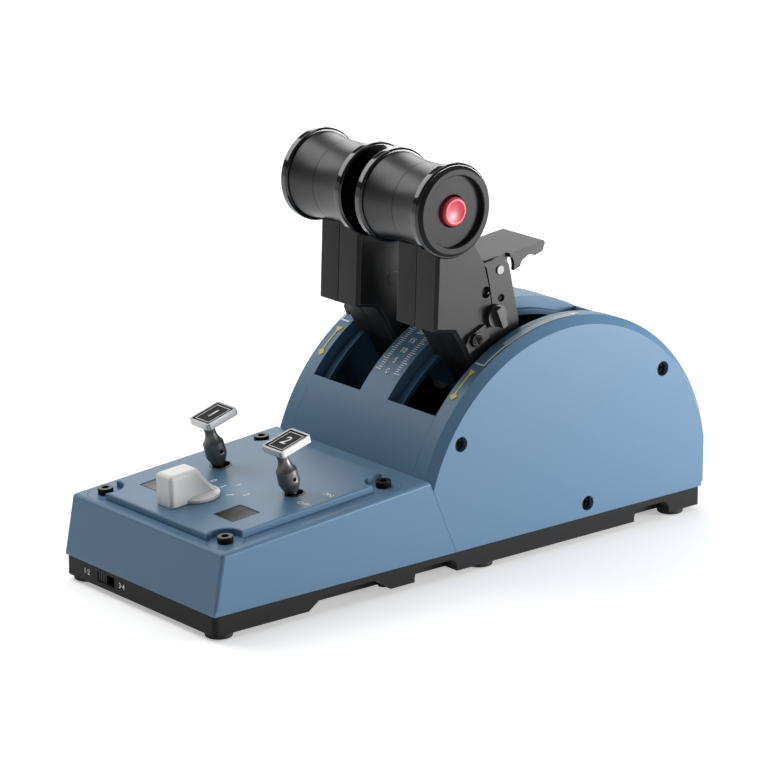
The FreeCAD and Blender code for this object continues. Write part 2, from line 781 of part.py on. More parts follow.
def make_windows():
    def window(name, side):
        body = plate_body(name, window_x * side, window_s, plate_rise - 2.1)
        slack = size(0.12)
        half = cell("window_width") / 2 - slack
        reach = cell("window_length") / 2 - slack
        sketch = new_sketch(body, "XY_Plane")
        add_box(sketch, -half, half, -reach, reach)
        pad(sketch, 2)
        dress("Fillet", body, 0.3, lambda edge: straight_along(edge, 2))
        return body

    makers = [lambda name, side=side: window(name, side) for side in (-1, 1)]
    return keep(solids_of("status_windows", makers))


def make_toggle_bushings():
    def bushing(name, side):
        body = plate_body(name, toggle_x * side, toggle_s, plate_rise)
        ring = new_sketch(body, "XY_Plane", -cell("toggle_pivot_depth") - 4.4)
        add_circle(ring, 0, 0, bushing_inner + 0.85)
        pad(ring, cell("toggle_pivot_depth") + 4.6)
        bore = new_sketch(body, "XY_Plane", 1)
        add_circle(bore, 0, 0, bushing_inner)
        pocket(bore, cell("toggle_pivot_depth") + 7)
        return body

    makers = [lambda name, side=side: bushing(name, side) for side in (-1, 1)]
    return keep(solids_of("toggle_bushings", makers))


def make_toggle_bases():
    """Switch cases under the plate, each with a cradle for its stem's trunnion."""
    def case(name, side):
        body = plate_body(name, toggle_x * side, toggle_s, toggle_pivot)
        block = new_sketch(body, "XY_Plane", -4.6)
        add_box(block, -6, 6, -8, 8)
        pad(block, board_depth + toggle_pivot - 4.6, flip=True)
        return body

    makers = [lambda name, side=side: case(name, side) for side in (-1, 1)]
    return keep(solids_of("toggle_bases", makers))


def toggle_seat():
    y = console_front_y + toggle_s * cosine(slope) - toggle_pivot * sine(slope)
    z = console_front_z + toggle_s * sine(slope) + toggle_pivot * cosine(slope)
    return (y, z, slope + cell("toggle_lean"))


def make_toggle(prefix, side):
    """Stem that rocks in its bushing, and the sleeve with the tray-shaped head on it."""
    stem_radius = cell("stem_radius")
    stem = new_body(prefix + "_toggle_stem", toggle_seat(), toggle_x * side)
    rod = new_sketch(stem, "XY_Plane", -3)
    add_circle(rod, 0, 0, stem_radius)
    pad(rod, cell("neck_start") - 1)
    ball = new_sketch(stem, "XZ_Plane")
    add_outline(ball, [(0, -3.6), (bushing_inner - gap - 0.6, -1.4),
                       (bushing_inner - gap - 0.6, 0.6), (0, 2.4)])
    turn("Revolution", ball, axis="V_Axis")
    trunnion = new_sketch(stem, "YZ_Plane")
    add_circle(trunnion, 0, 0, 1.1)
    pad(trunnion, (bushing_inner - gap) * 2 - 0.2, symmetric=True)
    keep(stem)

    sleeve = new_body(prefix + "_toggle_sleeve", toggle_seat(), toggle_x * side)
    profile = new_sketch(sleeve, "XZ_Plane")
    barrel = cell("barrel_radius")
    neck = cell("neck_radius")
    under_head = cell("head_at") - cell("head_height") / 2
    add_outline(profile, [(0, cell("sleeve_start")), (neck + 0.7, cell("sleeve_start")),
                          (barrel, cell("barrel_start")), (barrel - 0.2, cell("barrel_end")),
                          (neck, cell("neck_start")), (neck, under_head), (0, under_head)],
                {3: (9, -1)})
    turn("Revolution", profile, axis="V_Axis")
    width = cell("head_width") / 2
    reach = cell("head_length") / 2
    offset = cell("head_offset")
    head = new_sketch(sleeve, "XY_Plane", under_head)
    add_box(head, -width, width, offset - reach, offset + reach)
    pad(head, cell("head_height"))
    dress("Fillet", sleeve, 1.4, lambda edge: straight_along(edge, 2)
          and abs(middle(edge).x) > width.value - 0.5)
    inset = new_sketch(sleeve, "XY_Plane", under_head + cell("head_height"))
    lip = size(1)
    add_box(inset, -width + lip, width - lip, offset - reach + lip, offset + reach - lip)
    pocket(inset, 0.9)
    bore = new_sketch(sleeve, "XY_Plane", cell("sleeve_start") - 1)
    add_circle(bore, 0, 0, stem_radius + fit)
    pocket(bore, cell("neck_start") - cell("sleeve_start") - 2.6, flip=True)
    grub = new_sketch(sleeve, "YZ_Plane", barrel + 1)
    add_circle(grub, 0, cell("barrel_start") + 2.6, 0.95)
    pocket(grub, barrel + 1 - stem_radius - 0.6)
    keep(sleeve)

    label = new_body(prefix + "_toggle_label", toggle_seat(), toggle_x * side)
    card = new_sketch(label, "XY_Plane", under_head + cell("head_height") - 0.9)
    edge = lip + 0.05
    add_box(card, -width + edge, width - edge, offset - reach + edge, offset + reach - edge)
    pad(card, 0.7)
    keep(label)


knob_seat_height = plate_rise + gap


def make_mode_knob():
    body = plate_body("mode_knob", -cell("knob_aside"), cell("knob_at"), knob_seat_height)
    half = cell("knob_width") / 2
    front_end = cell("knob_front")
    height = cell("knob_height") - gap
    skirt = cell("skirt_height")
    skirt_radius = cell("skirt_radius")
    handle = new_sketch(body, "YZ_Plane")
    add_outline(handle, [(-front_end, 0), (skirt_radius - 1.5, 0), (skirt_radius - 1.5, skirt - 0.8),
                         (-1.4, height), (-front_end + 0.6, height)],
                {2: (36, -1)})
    pad(handle, half * 2, symmetric=True)

    def soft(edge):
        spot = middle(edge)
        upright = abs(spot.y + front_end.value) < 1 and abs(spot.x) > 1
        top = spot.z > height.value - 0.05
        flank = abs(abs(spot.x) - half.value) < 0.01 and spot.z > skirt.value
        return upright or top or flank

    dress("Fillet", body, 2, soft)
    disc = new_sketch(body, "XZ_Plane")
    add_outline(disc, [(0, 0), (skirt_radius, 0), (skirt_radius, skirt - 1.2),
                       (skirt_radius - 2.4, skirt), (0, skirt)])
    turn("Revolution", disc, axis="V_Axis")
    socket = new_sketch(body, "XY_Plane")
    add_circle(socket, 0, 0, cell("knob_shaft_radius") + fit)
    pocket(socket, height - 4, flip=True)
    keep(body)

    shaft = plate_body("mode_shaft", -cell("knob_aside"), cell("knob_at"), knob_seat_height)
    rod = new_sketch(shaft, "XY_Plane", -plate_rise - gap - cell("plate_sink") - 2.4)
    add_circle(rod, 0, 0, cell("knob_shaft_radius"))
    pad(rod, height - 4.4 + plate_rise + gap + cell("plate_sink") + 2.4)
    keep(shaft)

    case = plate_body("mode_switch", -cell("knob_aside"), cell("knob_at"),
                      -cell("plate_sink") - 0.1)
    block = new_sketch(case, "XY_Plane")
    add_box(block, -8, 8, -8, 8)
    pad(block, board_depth - cell("plate_sink") - 0.1, flip=True)
    bore = new_sketch(case, "XY_Plane")
    add_circle(bore, 0, 0, cell("knob_shaft_radius") + fit)
    pocket(bore, 2.8)
    keep(case)


def make_console_board():
    body = plate_body("console_board", 0, 0, -board_depth)
    sketch = new_sketch(body, "XY_Plane")
    reach = plate_half - 5.6
    add_box(sketch, -reach, reach, cell("plate_start") + 9, plate_end - 11)
    pad(sketch, 1.6, flip=True)
    return keep(body)


def make_slide_switch():
    slot_left = -half_width + cell("slide_from_side")
    slot_z = tray_bottom + 2.4
    y = front + cell("tray_inset")
    case = new_body("slide_switch")
    block = new_sketch(case, "XZ_Plane", -y - 3.4)
    add_box(block, slot_left - 1.5, slot_left + cell("slide_width") + 1.5,
            tray_inner, slot_z + cell("slide_height"))
    pad(block, 5, flip=True)
    keep(case)
    knob = new_body("slide_knob")
    thumb = new_sketch(knob, "XZ_Plane", -y - 3.1)
    width = cell("slide_width") - cell("slide_travel") - gap * 2
    add_box(thumb, slot_left + gap, slot_left + gap + width, slot_z + gap,
            slot_z + cell("slide_height") - gap)
    pad(thumb, 2.7)
    ribs = new_sketch(knob, "XZ_Plane", -y - 0.4)
    for step in range(3):
        left = slot_left + gap + 1 + width / 3.4 * step
        add_box(ribs, left, left + 0.7, slot_z + gap, slot_z + cell("slide_height") - gap)
    pocket(ribs, 0.5)
    keep(knob)


# ---------------------------------------------------------------- drum mechanism
hub_radius = cell("hub_radius")
shaft_radius = cell("shaft_radius")
upright_x = named("upright_x", lever_outer - 2.4)
block_half = named("block_half", lever_inner - 4.1)
frame_base_z = named("frame_base_z", tray_inner)
sector_radius = named("sector_radius", size(42))


def make_quadrant_frame():
    """Bearing frame: a foot plate, an upright outside each lever and a middle block."""
    body = new_body("quadrant_frame")
    foot = new_sketch(body, "XY_Plane", frame_base_z)
    reach = lever_outer - 0.6
    add_box(foot, -reach, reach, pivot_y - 21, pivot_y + 21)
    pad(foot, 2.2)
    top = pivot_z + 9
    for x, length, flip in ((upright_x, 3.4, False), (-upright_x, 3.4, True)):
        sketch = new_sketch(body, "YZ_Plane", x)
        add_outline(sketch, [(pivot_y - 17, frame_base_z), (pivot_y + 17, frame_base_z),
                             (pivot_y + 12, top), (pivot_y - 12, top)])
        pad(sketch, length, flip=flip)
    block = new_sketch(body, "YZ_Plane")
    add_outline(block, [(pivot_y - 17, frame_base_z), (pivot_y + 17, frame_base_z),
                        (pivot_y + 12, top), (pivot_y - 12, top)])
    pad(block, block_half * 2, symmetric=True)
    bore = new_sketch(body, "YZ_Plane")
    add_circle(bore, pivot_y, pivot_z, shaft_radius)
    pocket(bore, half_width * 2, symmetric=True)
    for side in (-1, 1):
        thread = new_sketch(body, "YZ_Plane", half_width * side)
        y, z = polar(*cheek_screws_at[2], pivot_y, pivot_z)
        add_circle(thread, y, z, 1.5 + fit)
        pocket(thread, half_width - upright_x + 1, flip=side < 0)
    return keep(body)


def make_pivot_shaft():
    body = new_body("pivot_shaft")
    sketch = new_sketch(body, "YZ_Plane")
    add_circle(sketch, pivot_y, pivot_z, shaft_radius)
    pad(sketch, (upright_x + 3.4) * 2, symmetric=True)
    dress("Chamfer", body, 0.5, lambda edge: len(edge.Vertexes) == 1)
    return keep(body)


detent_angles = (0, 12, 24, 36)
nose_radius = size(2)


def make_detent_sectors():
    """Notched fans fixed to the middle block; each lever's nose passes over their rims."""
    def fan(name, side):
        body = new_body(name, (pivot_y, pivot_z, size(0)))
        x = block_half * side
        sketch = new_sketch(body, "YZ_Plane", x)
        root_half = 7
        add_outline(sketch, [(-root_half, -6), (root_half, -6), polar(sector_radius, 66),
                             polar(sector_radius, 138)], {2: (sector_radius, 1)})
        pad(sketch, 2, flip=side < 0)
        hole = new_sketch(body, "YZ_Plane", x)
        add_circle(hole, 0, 0, shaft_radius + fit)
        pocket(hole, 3, flip=side > 0)
        notches = new_sketch(body, "YZ_Plane", x)
        for angle in detent_angles:
            a, b = polar(sector_radius + 1.2, 90 + lever_lean - angle)
            add_circle(notches, a, b, nose_radius)
        pocket(notches, 3, flip=side > 0)
        return body

    makers = [lambda name, side=side: fan(name, side) for side in (-1, 1)]
    return keep(solids_of("detent_sectors", makers))


def make_boards():
    def sensor(name, side):
        body = new_body(name)
        sketch = new_sketch(body, "XZ_Plane", -pivot_y - 15)
        add_box(sketch, (lever_inner + 3) * side, (lever_outer - 3.6) * side,
                frame_base_z + 2.2, pivot_z + 8)
        pad(sketch, 1.6, flip=True)
        return body

    makers = [lambda name, side=side: sensor(name, side) for side in (-1, 1)]
    keep(solids_of("sensor_boards", makers))
    board = new_body("main_board")
    sketch = new_sketch(board, "XY_Plane", board_z)
    add_box(sketch, -34, 34, rear - 52, rear - 6)
    pad(sketch, 1.6)
    keep(board)
    inlet = new_body("cable_inlet")
    shell = new_sketch(inlet, "XZ_Plane", -rear + 0.2)
    middle_z = board_z + 3.3
    add_box(shell, -4.5, 4.5, middle_z - 1.6, middle_z + 1.6)
    pad(shell, 8)
    dress("Fillet", inlet, 1.5, lambda edge: straight_along(edge, 1))
    mouth = new_sketch(inlet, "XZ_Plane", -rear + 0.2)
    add_box(mouth, -4.1, 4.1, middle_z - 1.2, middle_z + 1.2)
    pocket(mouth, 6, flip=True)
    keep(inlet)


# ---------------------------------------------------------------- levers
drawn_radius = 88.7
lever_rise = named("lever_rise", drum_radius - drawn_radius)
grip_z = named("grip_height", drum_radius + cell("grip_rise"))
grip_end = named("grip_end", half_width - cell("grip_short"))
grip_mid = named("grip_mid", (cell("grip_inner_end") + grip_end) / 2)
tube_radius = named("tube_radius", cell("grip_waist") - 9)
ring_bore = named("ring_bore", cell("grip_radius") - 2.6)
pin_at = (16.8, 116.6 + lever_rise)
lock_at = (5.7, 99.2 + lever_rise)


def lever_outline(sketch, points, arcs=None):
    """Outline in the lever's own frame; what stands outside the drum moves out with it."""
    low = 60
    placed = []
    for v, w in points:
        outside = isinstance(w, (int, float)) and w >= low
        placed.append((v, w + lever_rise if outside else w))
    add_outline(sketch, placed, arcs)


def lever_box(sketch, v0, v1, w0, w1):
    lever_outline(sketch, [(v0, w0), (v1, w0), (v1, w1), (v0, w1)])


def lever_circle(sketch, v, w, radius):
    add_circle(sketch, v, w + lever_rise, radius)


def lever_body(prefix, name):
    return new_body(f"{prefix}_{name}", lever_seat)


def side_sketch(body, side, x):
    return new_sketch(body, "YZ_Plane", size(x) * side)


def across(sketch, side, length):
    """Pad away from the middle of the quadrant."""
    return pad(sketch, length, flip=side < 0)


def cut_across(sketch, side, length):
    """Pocket away from the middle of the quadrant."""
    return pocket(sketch, length, flip=side > 0)


def grip_sketch(body, side):
    """Half section of a turned piece: along X from the middle, radius in Z from the grip axis."""
    return new_sketch(body, "XZ_Plane", 0, (0, grip_z))


def turned(body, side, points, arcs=None, cut=False):
    sketch = grip_sketch(body, side)
    placed = [(size(x) * side, radius) for x, radius in points]
    mirrored = {index: (radius, turn_side * side) for index, (radius, turn_side)
                in (arcs or {}).items()}
    add_outline(sketch, placed, mirrored)
    return turn("Groove" if cut else "Revolution", sketch)


def make_lever_arm(prefix, side):
    body = lever_body(prefix, "lever_arm")
    hub = side_sketch(body, side, block_half + 2 + gap)
    add_circle(hub, 0, 0, hub_radius)
    across(hub, side, upright_x - block_half - 2 - gap * 2)
    web = side_sketch(body, side, core_inner)
    lever_outline(web, [(-hub_radius + 0.4, 0), (hub_radius - 0.4, 0), (-1.8, 60), (-1.8, 104),
                        (5, 112), (4, 139), (-8, 139), (-15.2, 108), (-12, 84), (-10, 60)])
    across(web, side, core_width)
    tube = side_sketch(body, side, cell("grip_inner_end") + 6)
    add_circle(tube, 0, grip_z, tube_radius)
    across(tube, side, grip_end - cell("grip_inner_end") - 20.2)
    neck = side_sketch(body, side, core_inner + 2)
    lever_box(neck, -6, 3, 138, grip_z)
    across(neck, side, core_width - 4)
    nose_height = sector_radius + gap + nose_radius
    nose = side_sketch(body, side, block_half + 0.2)
    add_circle(nose, 0, nose_height, nose_radius)
    across(nose, side, core_inner - block_half + 0.4)
    stalk = side_sketch(body, side, block_half + 0.2)
    add_box(stalk, -nose_radius, nose_radius, nose_height, nose_height + 6)
    across(stalk, side, core_inner - block_half + 0.4)
    bore = side_sketch(body, side, 0)
    add_circle(bore, 0, 0, shaft_radius + fit)
    cut_across(bore, side, half_width)
    return keep(body)


CASING_SIDE = [(-26.6, 111.2), (-9.4, 147), (6.5, 147), (10.1, 125.8), (8.2, 112.5),
               (6.3, 105), (2.1, 102), (0.3, 98), (0.3, 97), (-2.2, 96.6), (-2.2, 84.6),
               (-14.2, 84.6), (-15.4, 95.4), (-17.2, 104.9)]


def make_casing(prefix, side, name, start, end, outer):
    """One moulded half of the lever's casing, from start to end across the lever."""
    body = lever_body(prefix, name)
    outline = side_sketch(body, side, start)
    lever_outline(outline, CASING_SIDE)
    across(outline, side, size(end) - start)
    outer_x = abs((size(outer) * side).value)

    def front_corner(edge):
        spot = middle(edge)
        on_face = abs(abs(spot.x) - outer_x) < 0.01
        height = spot.z - lever_rise.value
        front_run = spot.y < -12 and height > 84.7 and height < 146
        return on_face and front_run

    dress("Chamfer", body, 1.6, front_corner)
    waist = cell("grip_waist")
    groove_radius = cell("grip_radius") + 0.1
    turned(body, side, [(lever_inner - 3, 0), (lever_outer + 3, 0),
                        (lever_outer + 3, groove_radius), (grip_mid, waist + 0.5),
                        (lever_inner - 3, groove_radius)], cut=True)
    hollow = side_sketch(body, side, core_inner - 0.15)
    lever_outline(hollow, [(-15.35, 108), (-12.15, 84), (-12.15, 83), (-1.65, 83),
                           (-1.65, 104), (5.15, 112), (4.15, 150), (-8.15, 150)])
    cut_across(hollow, side, core_width + 0.3)
    if name == "casing_outer":
        notch = side_sketch(body, side, lever_outer + 1)
        lever_circle(notch, 5.8, 111.6, 2.7)
        pocket(notch, 4.5, flip=side < 0)
        lug = side_sketch(body, side, lever_outer)
        lever_outline(lug, [(-15, 92.6), (-1.9, 92.6), (-1.9, 99.6), (-12, 99.6), (-15, 97)])
        across(lug, side, 2)
        thread = side_sketch(body, side, lever_outer + 3)
        lever_circle(thread, -9.2, 96.2, 1.5 + fit)
        pocket(thread, 9, flip=side < 0)
    else:
        boss = side_sketch(body, side, lever_inner)
        lever_circle(boss, -3, 112, 3.4)
        pad(boss, 0.3, flip=side > 0)
    return keep(body)


def make_grip(prefix, side):
    start = cell("grip_inner_end")
    end = grip_end
    ring = cell("ring_width")
    radius = cell("grip_radius")
    waist = cell("grip_waist")
    split = grip_mid + 0.4
    seam = cell("seam_gap") / 2
    bore = tube_radius + fit
    inner_start = start + ring + 0.1
    outer_end = end - 1.8 - ring
    bow = size(92)
    for name, low, high, narrow in (("grip_inner", inner_start, split - seam, "high"),
                                    ("grip_outer", split + seam, outer_end, "low")):
        body = lever_body(prefix, name)
        at_low = waist if narrow == "low" else radius
        at_high = waist if narrow == "high" else radius
        turned(body, side, [(low, bore), (high, bore), (high, at_high), (low, at_low)],
               {2: (bow, -1)})
        if name == "grip_outer":
            turned(body, side, [(end - 13.2, 0), (high + 1, 0), (high + 1, 13),
                                (end - 13.2, 13)], cut=True)
        slot = new_sketch(body, "XY_Plane", grip_z - 25)
        add_box(slot, (core_inner + 1.8) * side, (core_inner + core_width - 1.8) * side,
                -8.4, 5.4)
        pocket(slot, 25, flip=True)
        keep(body)

    ring_radius = cell("ring_radius")

    def make_ring(name, low, high, hole):
        body = new_body(name, lever_seat)
        corner = 0.8
        turned(body, side, [(low, hole), (high, hole), (high, ring_radius - corner),
                            (high - corner, ring_radius), (low + corner, ring_radius),
                            (low, ring_radius - corner)])
        return body

    ring_start = outer_end + 0.1
    keep(solids_of(f"{prefix}_grip_rings",
                   [lambda name: make_ring(name, start, start + ring, 0),
                    lambda name: make_ring(name, ring_start, ring_start + ring, ring_bore)]))

    cap = lever_body(prefix, "end_cap")
    rim = ring_radius - 1.1
    face = rim - 4.2
    bore = cell("button_radius") + 0.3
    turned(cap, side, [(end - 6, bore), (end - 2.6, bore), (end - 2.6, face),
                       (end - 0.4, face), (end, face + 0.4), (end, rim - 1.4),
                       (end - 1.4, rim), (end - 1.7, rim),
                       (end - 1.7, ring_bore - 0.1), (end - 6, ring_bore - 0.1)])
    keep(cap)

    button = lever_body(prefix, "red_button")
    push = cell("button_radius")
    lip = push - 1.1
    dish = size(0.9)
    turned(button, side, [(end - 8, 0), (end - 8, push), (end - dish, push),
                          (end, lip), (end - dish, 0)],
           {3: ((lip * lip + dish * dish) / (dish * 2), 1)})
    keep(button)

    switch = lever_body(prefix, "button_switch")
    block = side_sketch(switch, side, end - 14)
    add_box(block, -5, 5, grip_z - 5, grip_z + 5)
    across(block, side, 6 - cell("button_travel") - gap)
    keep(switch)


def make_bracket(prefix, side):
    """Folded bracket behind the casing: two ears, joined by a web on the arm's back."""
    body = lever_body(prefix, "reverser_bracket")
    thickness = cell("bracket_thickness")
    y_pin, z_pin = pin_at
    ear = [(9.6, 124.2), (15.4, 122.6), (22.3, 115.2), (17, 88), (14.6, 86.2), (1, 86.2),
           (0.8, 96), (2.9, 101.6), (7, 104.6), (8.9, 112.4), (10.6, 121.4)]
    for start in (lever_inner + 0.2, lever_outer - 0.2 - thickness):
        sketch = side_sketch(body, side, start)
        lever_outline(sketch, ear, {1: (7, -1)})
        across(sketch, side, thickness)
    web = side_sketch(body, side, lever_inner + 0.2)
    lever_box(web, -1.5, 1.1, 86.2, 96)
    across(web, side, lever_outer - lever_inner - 0.4)
    holes = side_sketch(body, side, lever_inner - 1)
    add_circle(holes, y_pin, z_pin, cell("pin_radius"))
    cut_across(holes, side, lever_width + 3)
    lock = side_sketch(body, side, lever_outer - 4)
    lever_circle(lock, 12.4, 104.3, 1.8)
    add_circle(lock, lock_at[0], lock_at[1], 2 + fit)
    cut_across(lock, side, 5)
    keep(body)

    pin = lever_body(prefix, "paddle_pin")
    rod = side_sketch(pin, side, lever_inner - 0.1)
    add_circle(rod, y_pin, z_pin, cell("pin_radius"))
    across(rod, side, lever_width + 0.2)
    for x in (lever_inner - 0.5, lever_outer - 0.2):
        head = side_sketch(pin, side, x)
        add_circle(head, y_pin, z_pin, cell("pin_radius") + 0.4)
        across(head, side, 0.7)
    keep(pin)


def make_paddle(prefix, side):
    body = lever_body(prefix, "reverser_paddle")
    y_pin, z_pin = pin_at
    thickness = size(2)
    tip = (44.3, 114.6)
    start = (12.2, 124)
    top_back = (25.2, 120.2)
    narrow = cell("bracket_thickness") + 0.5
    inner_x = lever_inner + narrow
    inner_width = lever_width - narrow * 2
    plate = side_sketch(body, side, inner_x)
    lever_outline(plate, [start, top_back, (25.2, 118.2), (12.2, 121.6)])
    across(plate, side, inner_width)
    blade = side_sketch(body, side, lever_inner)
    lever_outline(blade, [(24.6, 120.4), tip, (44.3, 113), (42.6, 112.7), (24.4, 118.2)])
    across(blade, side, lever_width)
    skirt = [(24.6, 120.4), tip, (44.3, 113.4), (41.6, 110.6), (36.8, 111.4), (33.4, 113.7),
             (29.4, 113.3), (27.4, 111.6), (23.6, 111.8)]
    for x in (lever_inner, lever_outer - 2):
        flank = side_sketch(body, side, x)
        lever_outline(flank, skirt, {4: (4.6, 1), 8: (8.8, 1)})
        across(flank, side, 2)
    for x in (inner_x, inner_x + inner_width - 2.2):
        ear = side_sketch(body, side, x)
        lever_outline(ear, [(12.2, 121.6), (13, 114.6), (20.6, 114.6), (25.2, 119)])
        across(ear, side, 2.2)
        eye = side_sketch(body, side, x)
        add_circle(eye, y_pin, z_pin, 4)
        across(eye, side, 2.2)
    bore = side_sketch(body, side, lever_inner - 1)
    add_circle(bore, y_pin, z_pin, cell("pin_radius") + fit)
    cut_across(bore, side, lever_width + 2)
    return keep(body)


def make_lock_knob(prefix, side):
    body = lever_body(prefix, "lock_knob")
    y = lock_at[0]
    z = lock_at[1]
    start = lever_outer + gap
    disc = side_sketch(body, side, start)
    add_circle(disc, y, z, cell("lock_radius"))
    across(disc, side, 2.2)
    wing = side_sketch(body, side, start + 2)
    add_box(wing, y - 1.5, y + 1.5, z - 4.9, z + 4.9)
    across(wing, side, 3.4)
    shank = side_sketch(body, side, lever_outer - 3)
    add_circle(shank, y, z, 2)
    across(shank, side, 3.4)
    return keep(body)


def make_bracket_screw(prefix, side):
    body = lever_body(prefix, "bracket_screw")
    head = side_sketch(body, side, lever_outer + 2)
    lever_circle(head, -9.2, 96.2, 3.1)
    across(head, side, 1.4)
    shank = side_sketch(body, side, lever_outer - 4)
    lever_circle(shank, -9.2, 96.2, 1.5)
    across(shank, side, 6.2)
    cross = side_sketch(body, side, lever_outer + 3.4)
    lever_outline(cross, [(-9.7, 94.2), (-8.7, 94.2), (-8.7, 95.7), (-7.2, 95.7), (-7.2, 96.7),
                          (-8.7, 96.7), (-8.7, 98.2), (-9.7, 98.2), (-9.7, 96.7),
                          (-11.2, 96.7), (-11.2, 95.7), (-9.7, 95.7)])
    pocket(cross, 0.9, flip=side < 0)
    return keep(body)


def make_lever(prefix, side):
    make_lever_arm(prefix, side)
    split = (lever_inner + lever_outer) / 2
    seam = cell("seam_gap") / 2
    make_casing(prefix, side, "casing_inner", lever_inner, split - seam, lever_inner)
    make_casing(prefix, side, "casing_outer", split + seam, lever_outer, lever_outer)
    make_grip(prefix, side)
    make_bracket(prefix, side)
    make_paddle(prefix, side)
    make_lock_knob(prefix, side)
    make_bracket_screw(prefix, side)


# ---------------------------------------------------------------- build and write
def check_document():
    doc.recompute()
    for part in doc.Objects:
        if "Invalid" in part.State or "Error" in part.State:
            raise RuntimeError(f"{part.Label} did not recompute")
    for part in exported:
        if part.Shape.isNull() or not part.Shape.isValid():
            raise RuntimeError(f"{part.Label} has no valid shape")


make_tray()
make_feet()
make_console_cover()
make_quadrant_cover()
make_slot_guard()
make_cheek("left_cheek", -1)
make_cheek("right_cheek", 1)
make_housing_screws()
make_top_plate()
make_windows()
make_toggle_bushings()
make_toggle_bases()
make_toggle("left", -1)
make_toggle("right", 1)
make_mode_knob()
make_console_board()
make_slide_switch()
make_quadrant_frame()
make_pivot_shaft()
make_detent_sectors()
make_boards()
make_lever("left", -1)
make_lever("right", 1)
check_document()

os.makedirs("parts", exist_ok=True)
for part in exported:
    part.Shape.exportStep(f"parts/{part.Label}.step")
    count = len(part.Shape.Solids)
    print(f"{part.Label}: {count} solid(s), {part.Shape.Volume / 1000:.2f} cm3")
print(len(exported), "nodes")
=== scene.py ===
import json
import math
import bpy
from mathutils import Euler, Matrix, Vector


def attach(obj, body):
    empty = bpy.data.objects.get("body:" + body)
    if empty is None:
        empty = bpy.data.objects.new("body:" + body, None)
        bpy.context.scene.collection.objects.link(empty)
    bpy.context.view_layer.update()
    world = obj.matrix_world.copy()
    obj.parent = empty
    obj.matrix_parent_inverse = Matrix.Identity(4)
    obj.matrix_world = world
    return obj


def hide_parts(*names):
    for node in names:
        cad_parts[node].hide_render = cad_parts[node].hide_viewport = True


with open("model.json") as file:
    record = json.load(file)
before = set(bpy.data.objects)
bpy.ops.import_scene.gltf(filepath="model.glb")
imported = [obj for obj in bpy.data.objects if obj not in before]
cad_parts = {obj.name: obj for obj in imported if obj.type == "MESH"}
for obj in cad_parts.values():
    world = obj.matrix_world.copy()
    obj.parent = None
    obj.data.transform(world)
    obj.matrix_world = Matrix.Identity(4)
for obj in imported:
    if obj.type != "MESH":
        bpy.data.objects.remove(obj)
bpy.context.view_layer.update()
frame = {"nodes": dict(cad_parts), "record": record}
nodes = frame["nodes"]
bodyOf = {node: body for body, members in frame["record"]["behaviour"]["bodies"].items()
          for node in members}
sides = ((-1, "left"), (1, "right"))
mm = 0.001

# where the console, the drum and the levers lie, in millimetres and degrees as in the solids
housing = {"slope": 4.5, "consoleY": -137.8, "consoleZ": 38.3, "pivotY": 59.7, "pivotZ": 18.3,
           "drumRadius": 88.7, "leverLean": 23.7, "frontY": -142.2, "plateRise": 3.2}


def onConsole(x, s, n=0.0):
    # x across, s up the slope, n out of the console's top
    a = math.radians(housing["slope"])
    y = housing["consoleY"] + s * math.cos(a) - n * math.sin(a)
    z = housing["consoleZ"] + s * math.sin(a) + n * math.cos(a)
    return Vector((x, y, z)) * mm


def onDrum(x, angle, lift=0.0):
    # x across, angle over the top from the level behind the pivot, lift off the drum's skin
    a = math.radians(angle)
    r = housing["drumRadius"] + lift
    y = housing["pivotY"] + r * math.cos(a)
    z = housing["pivotZ"] + r * math.sin(a)
    return Vector((x, y, z)) * mm


def onLever(x, v, w):
    # x across, v away from the pilot, w up the lever from its pivot
    a = math.radians(housing["leverLean"])
    y = housing["pivotY"] + v * math.cos(a) - w * math.sin(a)
    z = housing["pivotZ"] + v * math.sin(a) + w * math.cos(a)
    return Vector((x, y, z)) * mm


toggles = {"x": 26.2, "s": 61.2, "sink": 4.2, "lean": 12.0}


def onToggle(side, u, v, h):
    # u across, v away from the pilot, h along the stem from its pivot
    a = math.radians(housing["slope"] + toggles["lean"])
    seat = onConsole(toggles["x"] * side, toggles["s"], housing["plateRise"] - toggles["sink"])
    y = v * math.cos(a) - h * math.sin(a)
    z = v * math.sin(a) + h * math.cos(a)
    return seat + Vector((u, y, z)) * mm


def pickNone():
    if bpy.context.object and bpy.context.object.mode != "OBJECT":
        bpy.ops.object.mode_set(mode="OBJECT")
    bpy.ops.object.select_all(action="DESELECT")


def pickOnly(*pieces):
    pickNone()
    for piece in pieces:
        piece.select_set(True)
    bpy.context.view_layer.objects.active = pieces[0]


def editAll(piece):
    pickOnly(piece)
    bpy.ops.object.mode_set(mode="EDIT")
    bpy.ops.mesh.select_all(action="SELECT")


def leaveEdit():
    bpy.ops.object.mode_set(mode="OBJECT")


def applyModifier(piece, kind, **settings):
    pickOnly(piece)
    modifier = piece.modifiers.new(kind.lower(), kind)
    for name, value in settings.items():
        setattr(modifier, name, value)
    bpy.ops.object.modifier_apply(modifier=modifier.name)


# how wide a plane is, how little its corners lean, and which slivers count as part of it
flatness = {"area": 40e-6, "lean": 1.0, "cosine": 0.99999, "offset": 2e-5}


def keepPlanesFlat(piece):
    # a wide plane and the slivers that lie in it all shade as one plane
    mesh = piece.data
    normals = [corner.vector.copy() for corner in mesh.corner_normals]
    planes = []
    for face in mesh.polygons:
        if face.area > flatness["area"]:
            lean = max(normals[loop].angle(face.normal, 0) for loop in face.loop_indices)
            if lean < math.radians(flatness["lean"]):
                planes.append((face.normal.copy(), face.center.copy()))
    for face in mesh.polygons:
        for normal, spot in planes:
            if face.normal.dot(normal) > flatness["cosine"] and \
                    abs((face.center - spot).dot(normal)) < flatness["offset"]:
                for loop in face.loop_indices:
                    normals[loop] = normal
                break
    if planes:
        mesh.normals_split_custom_set(normals)


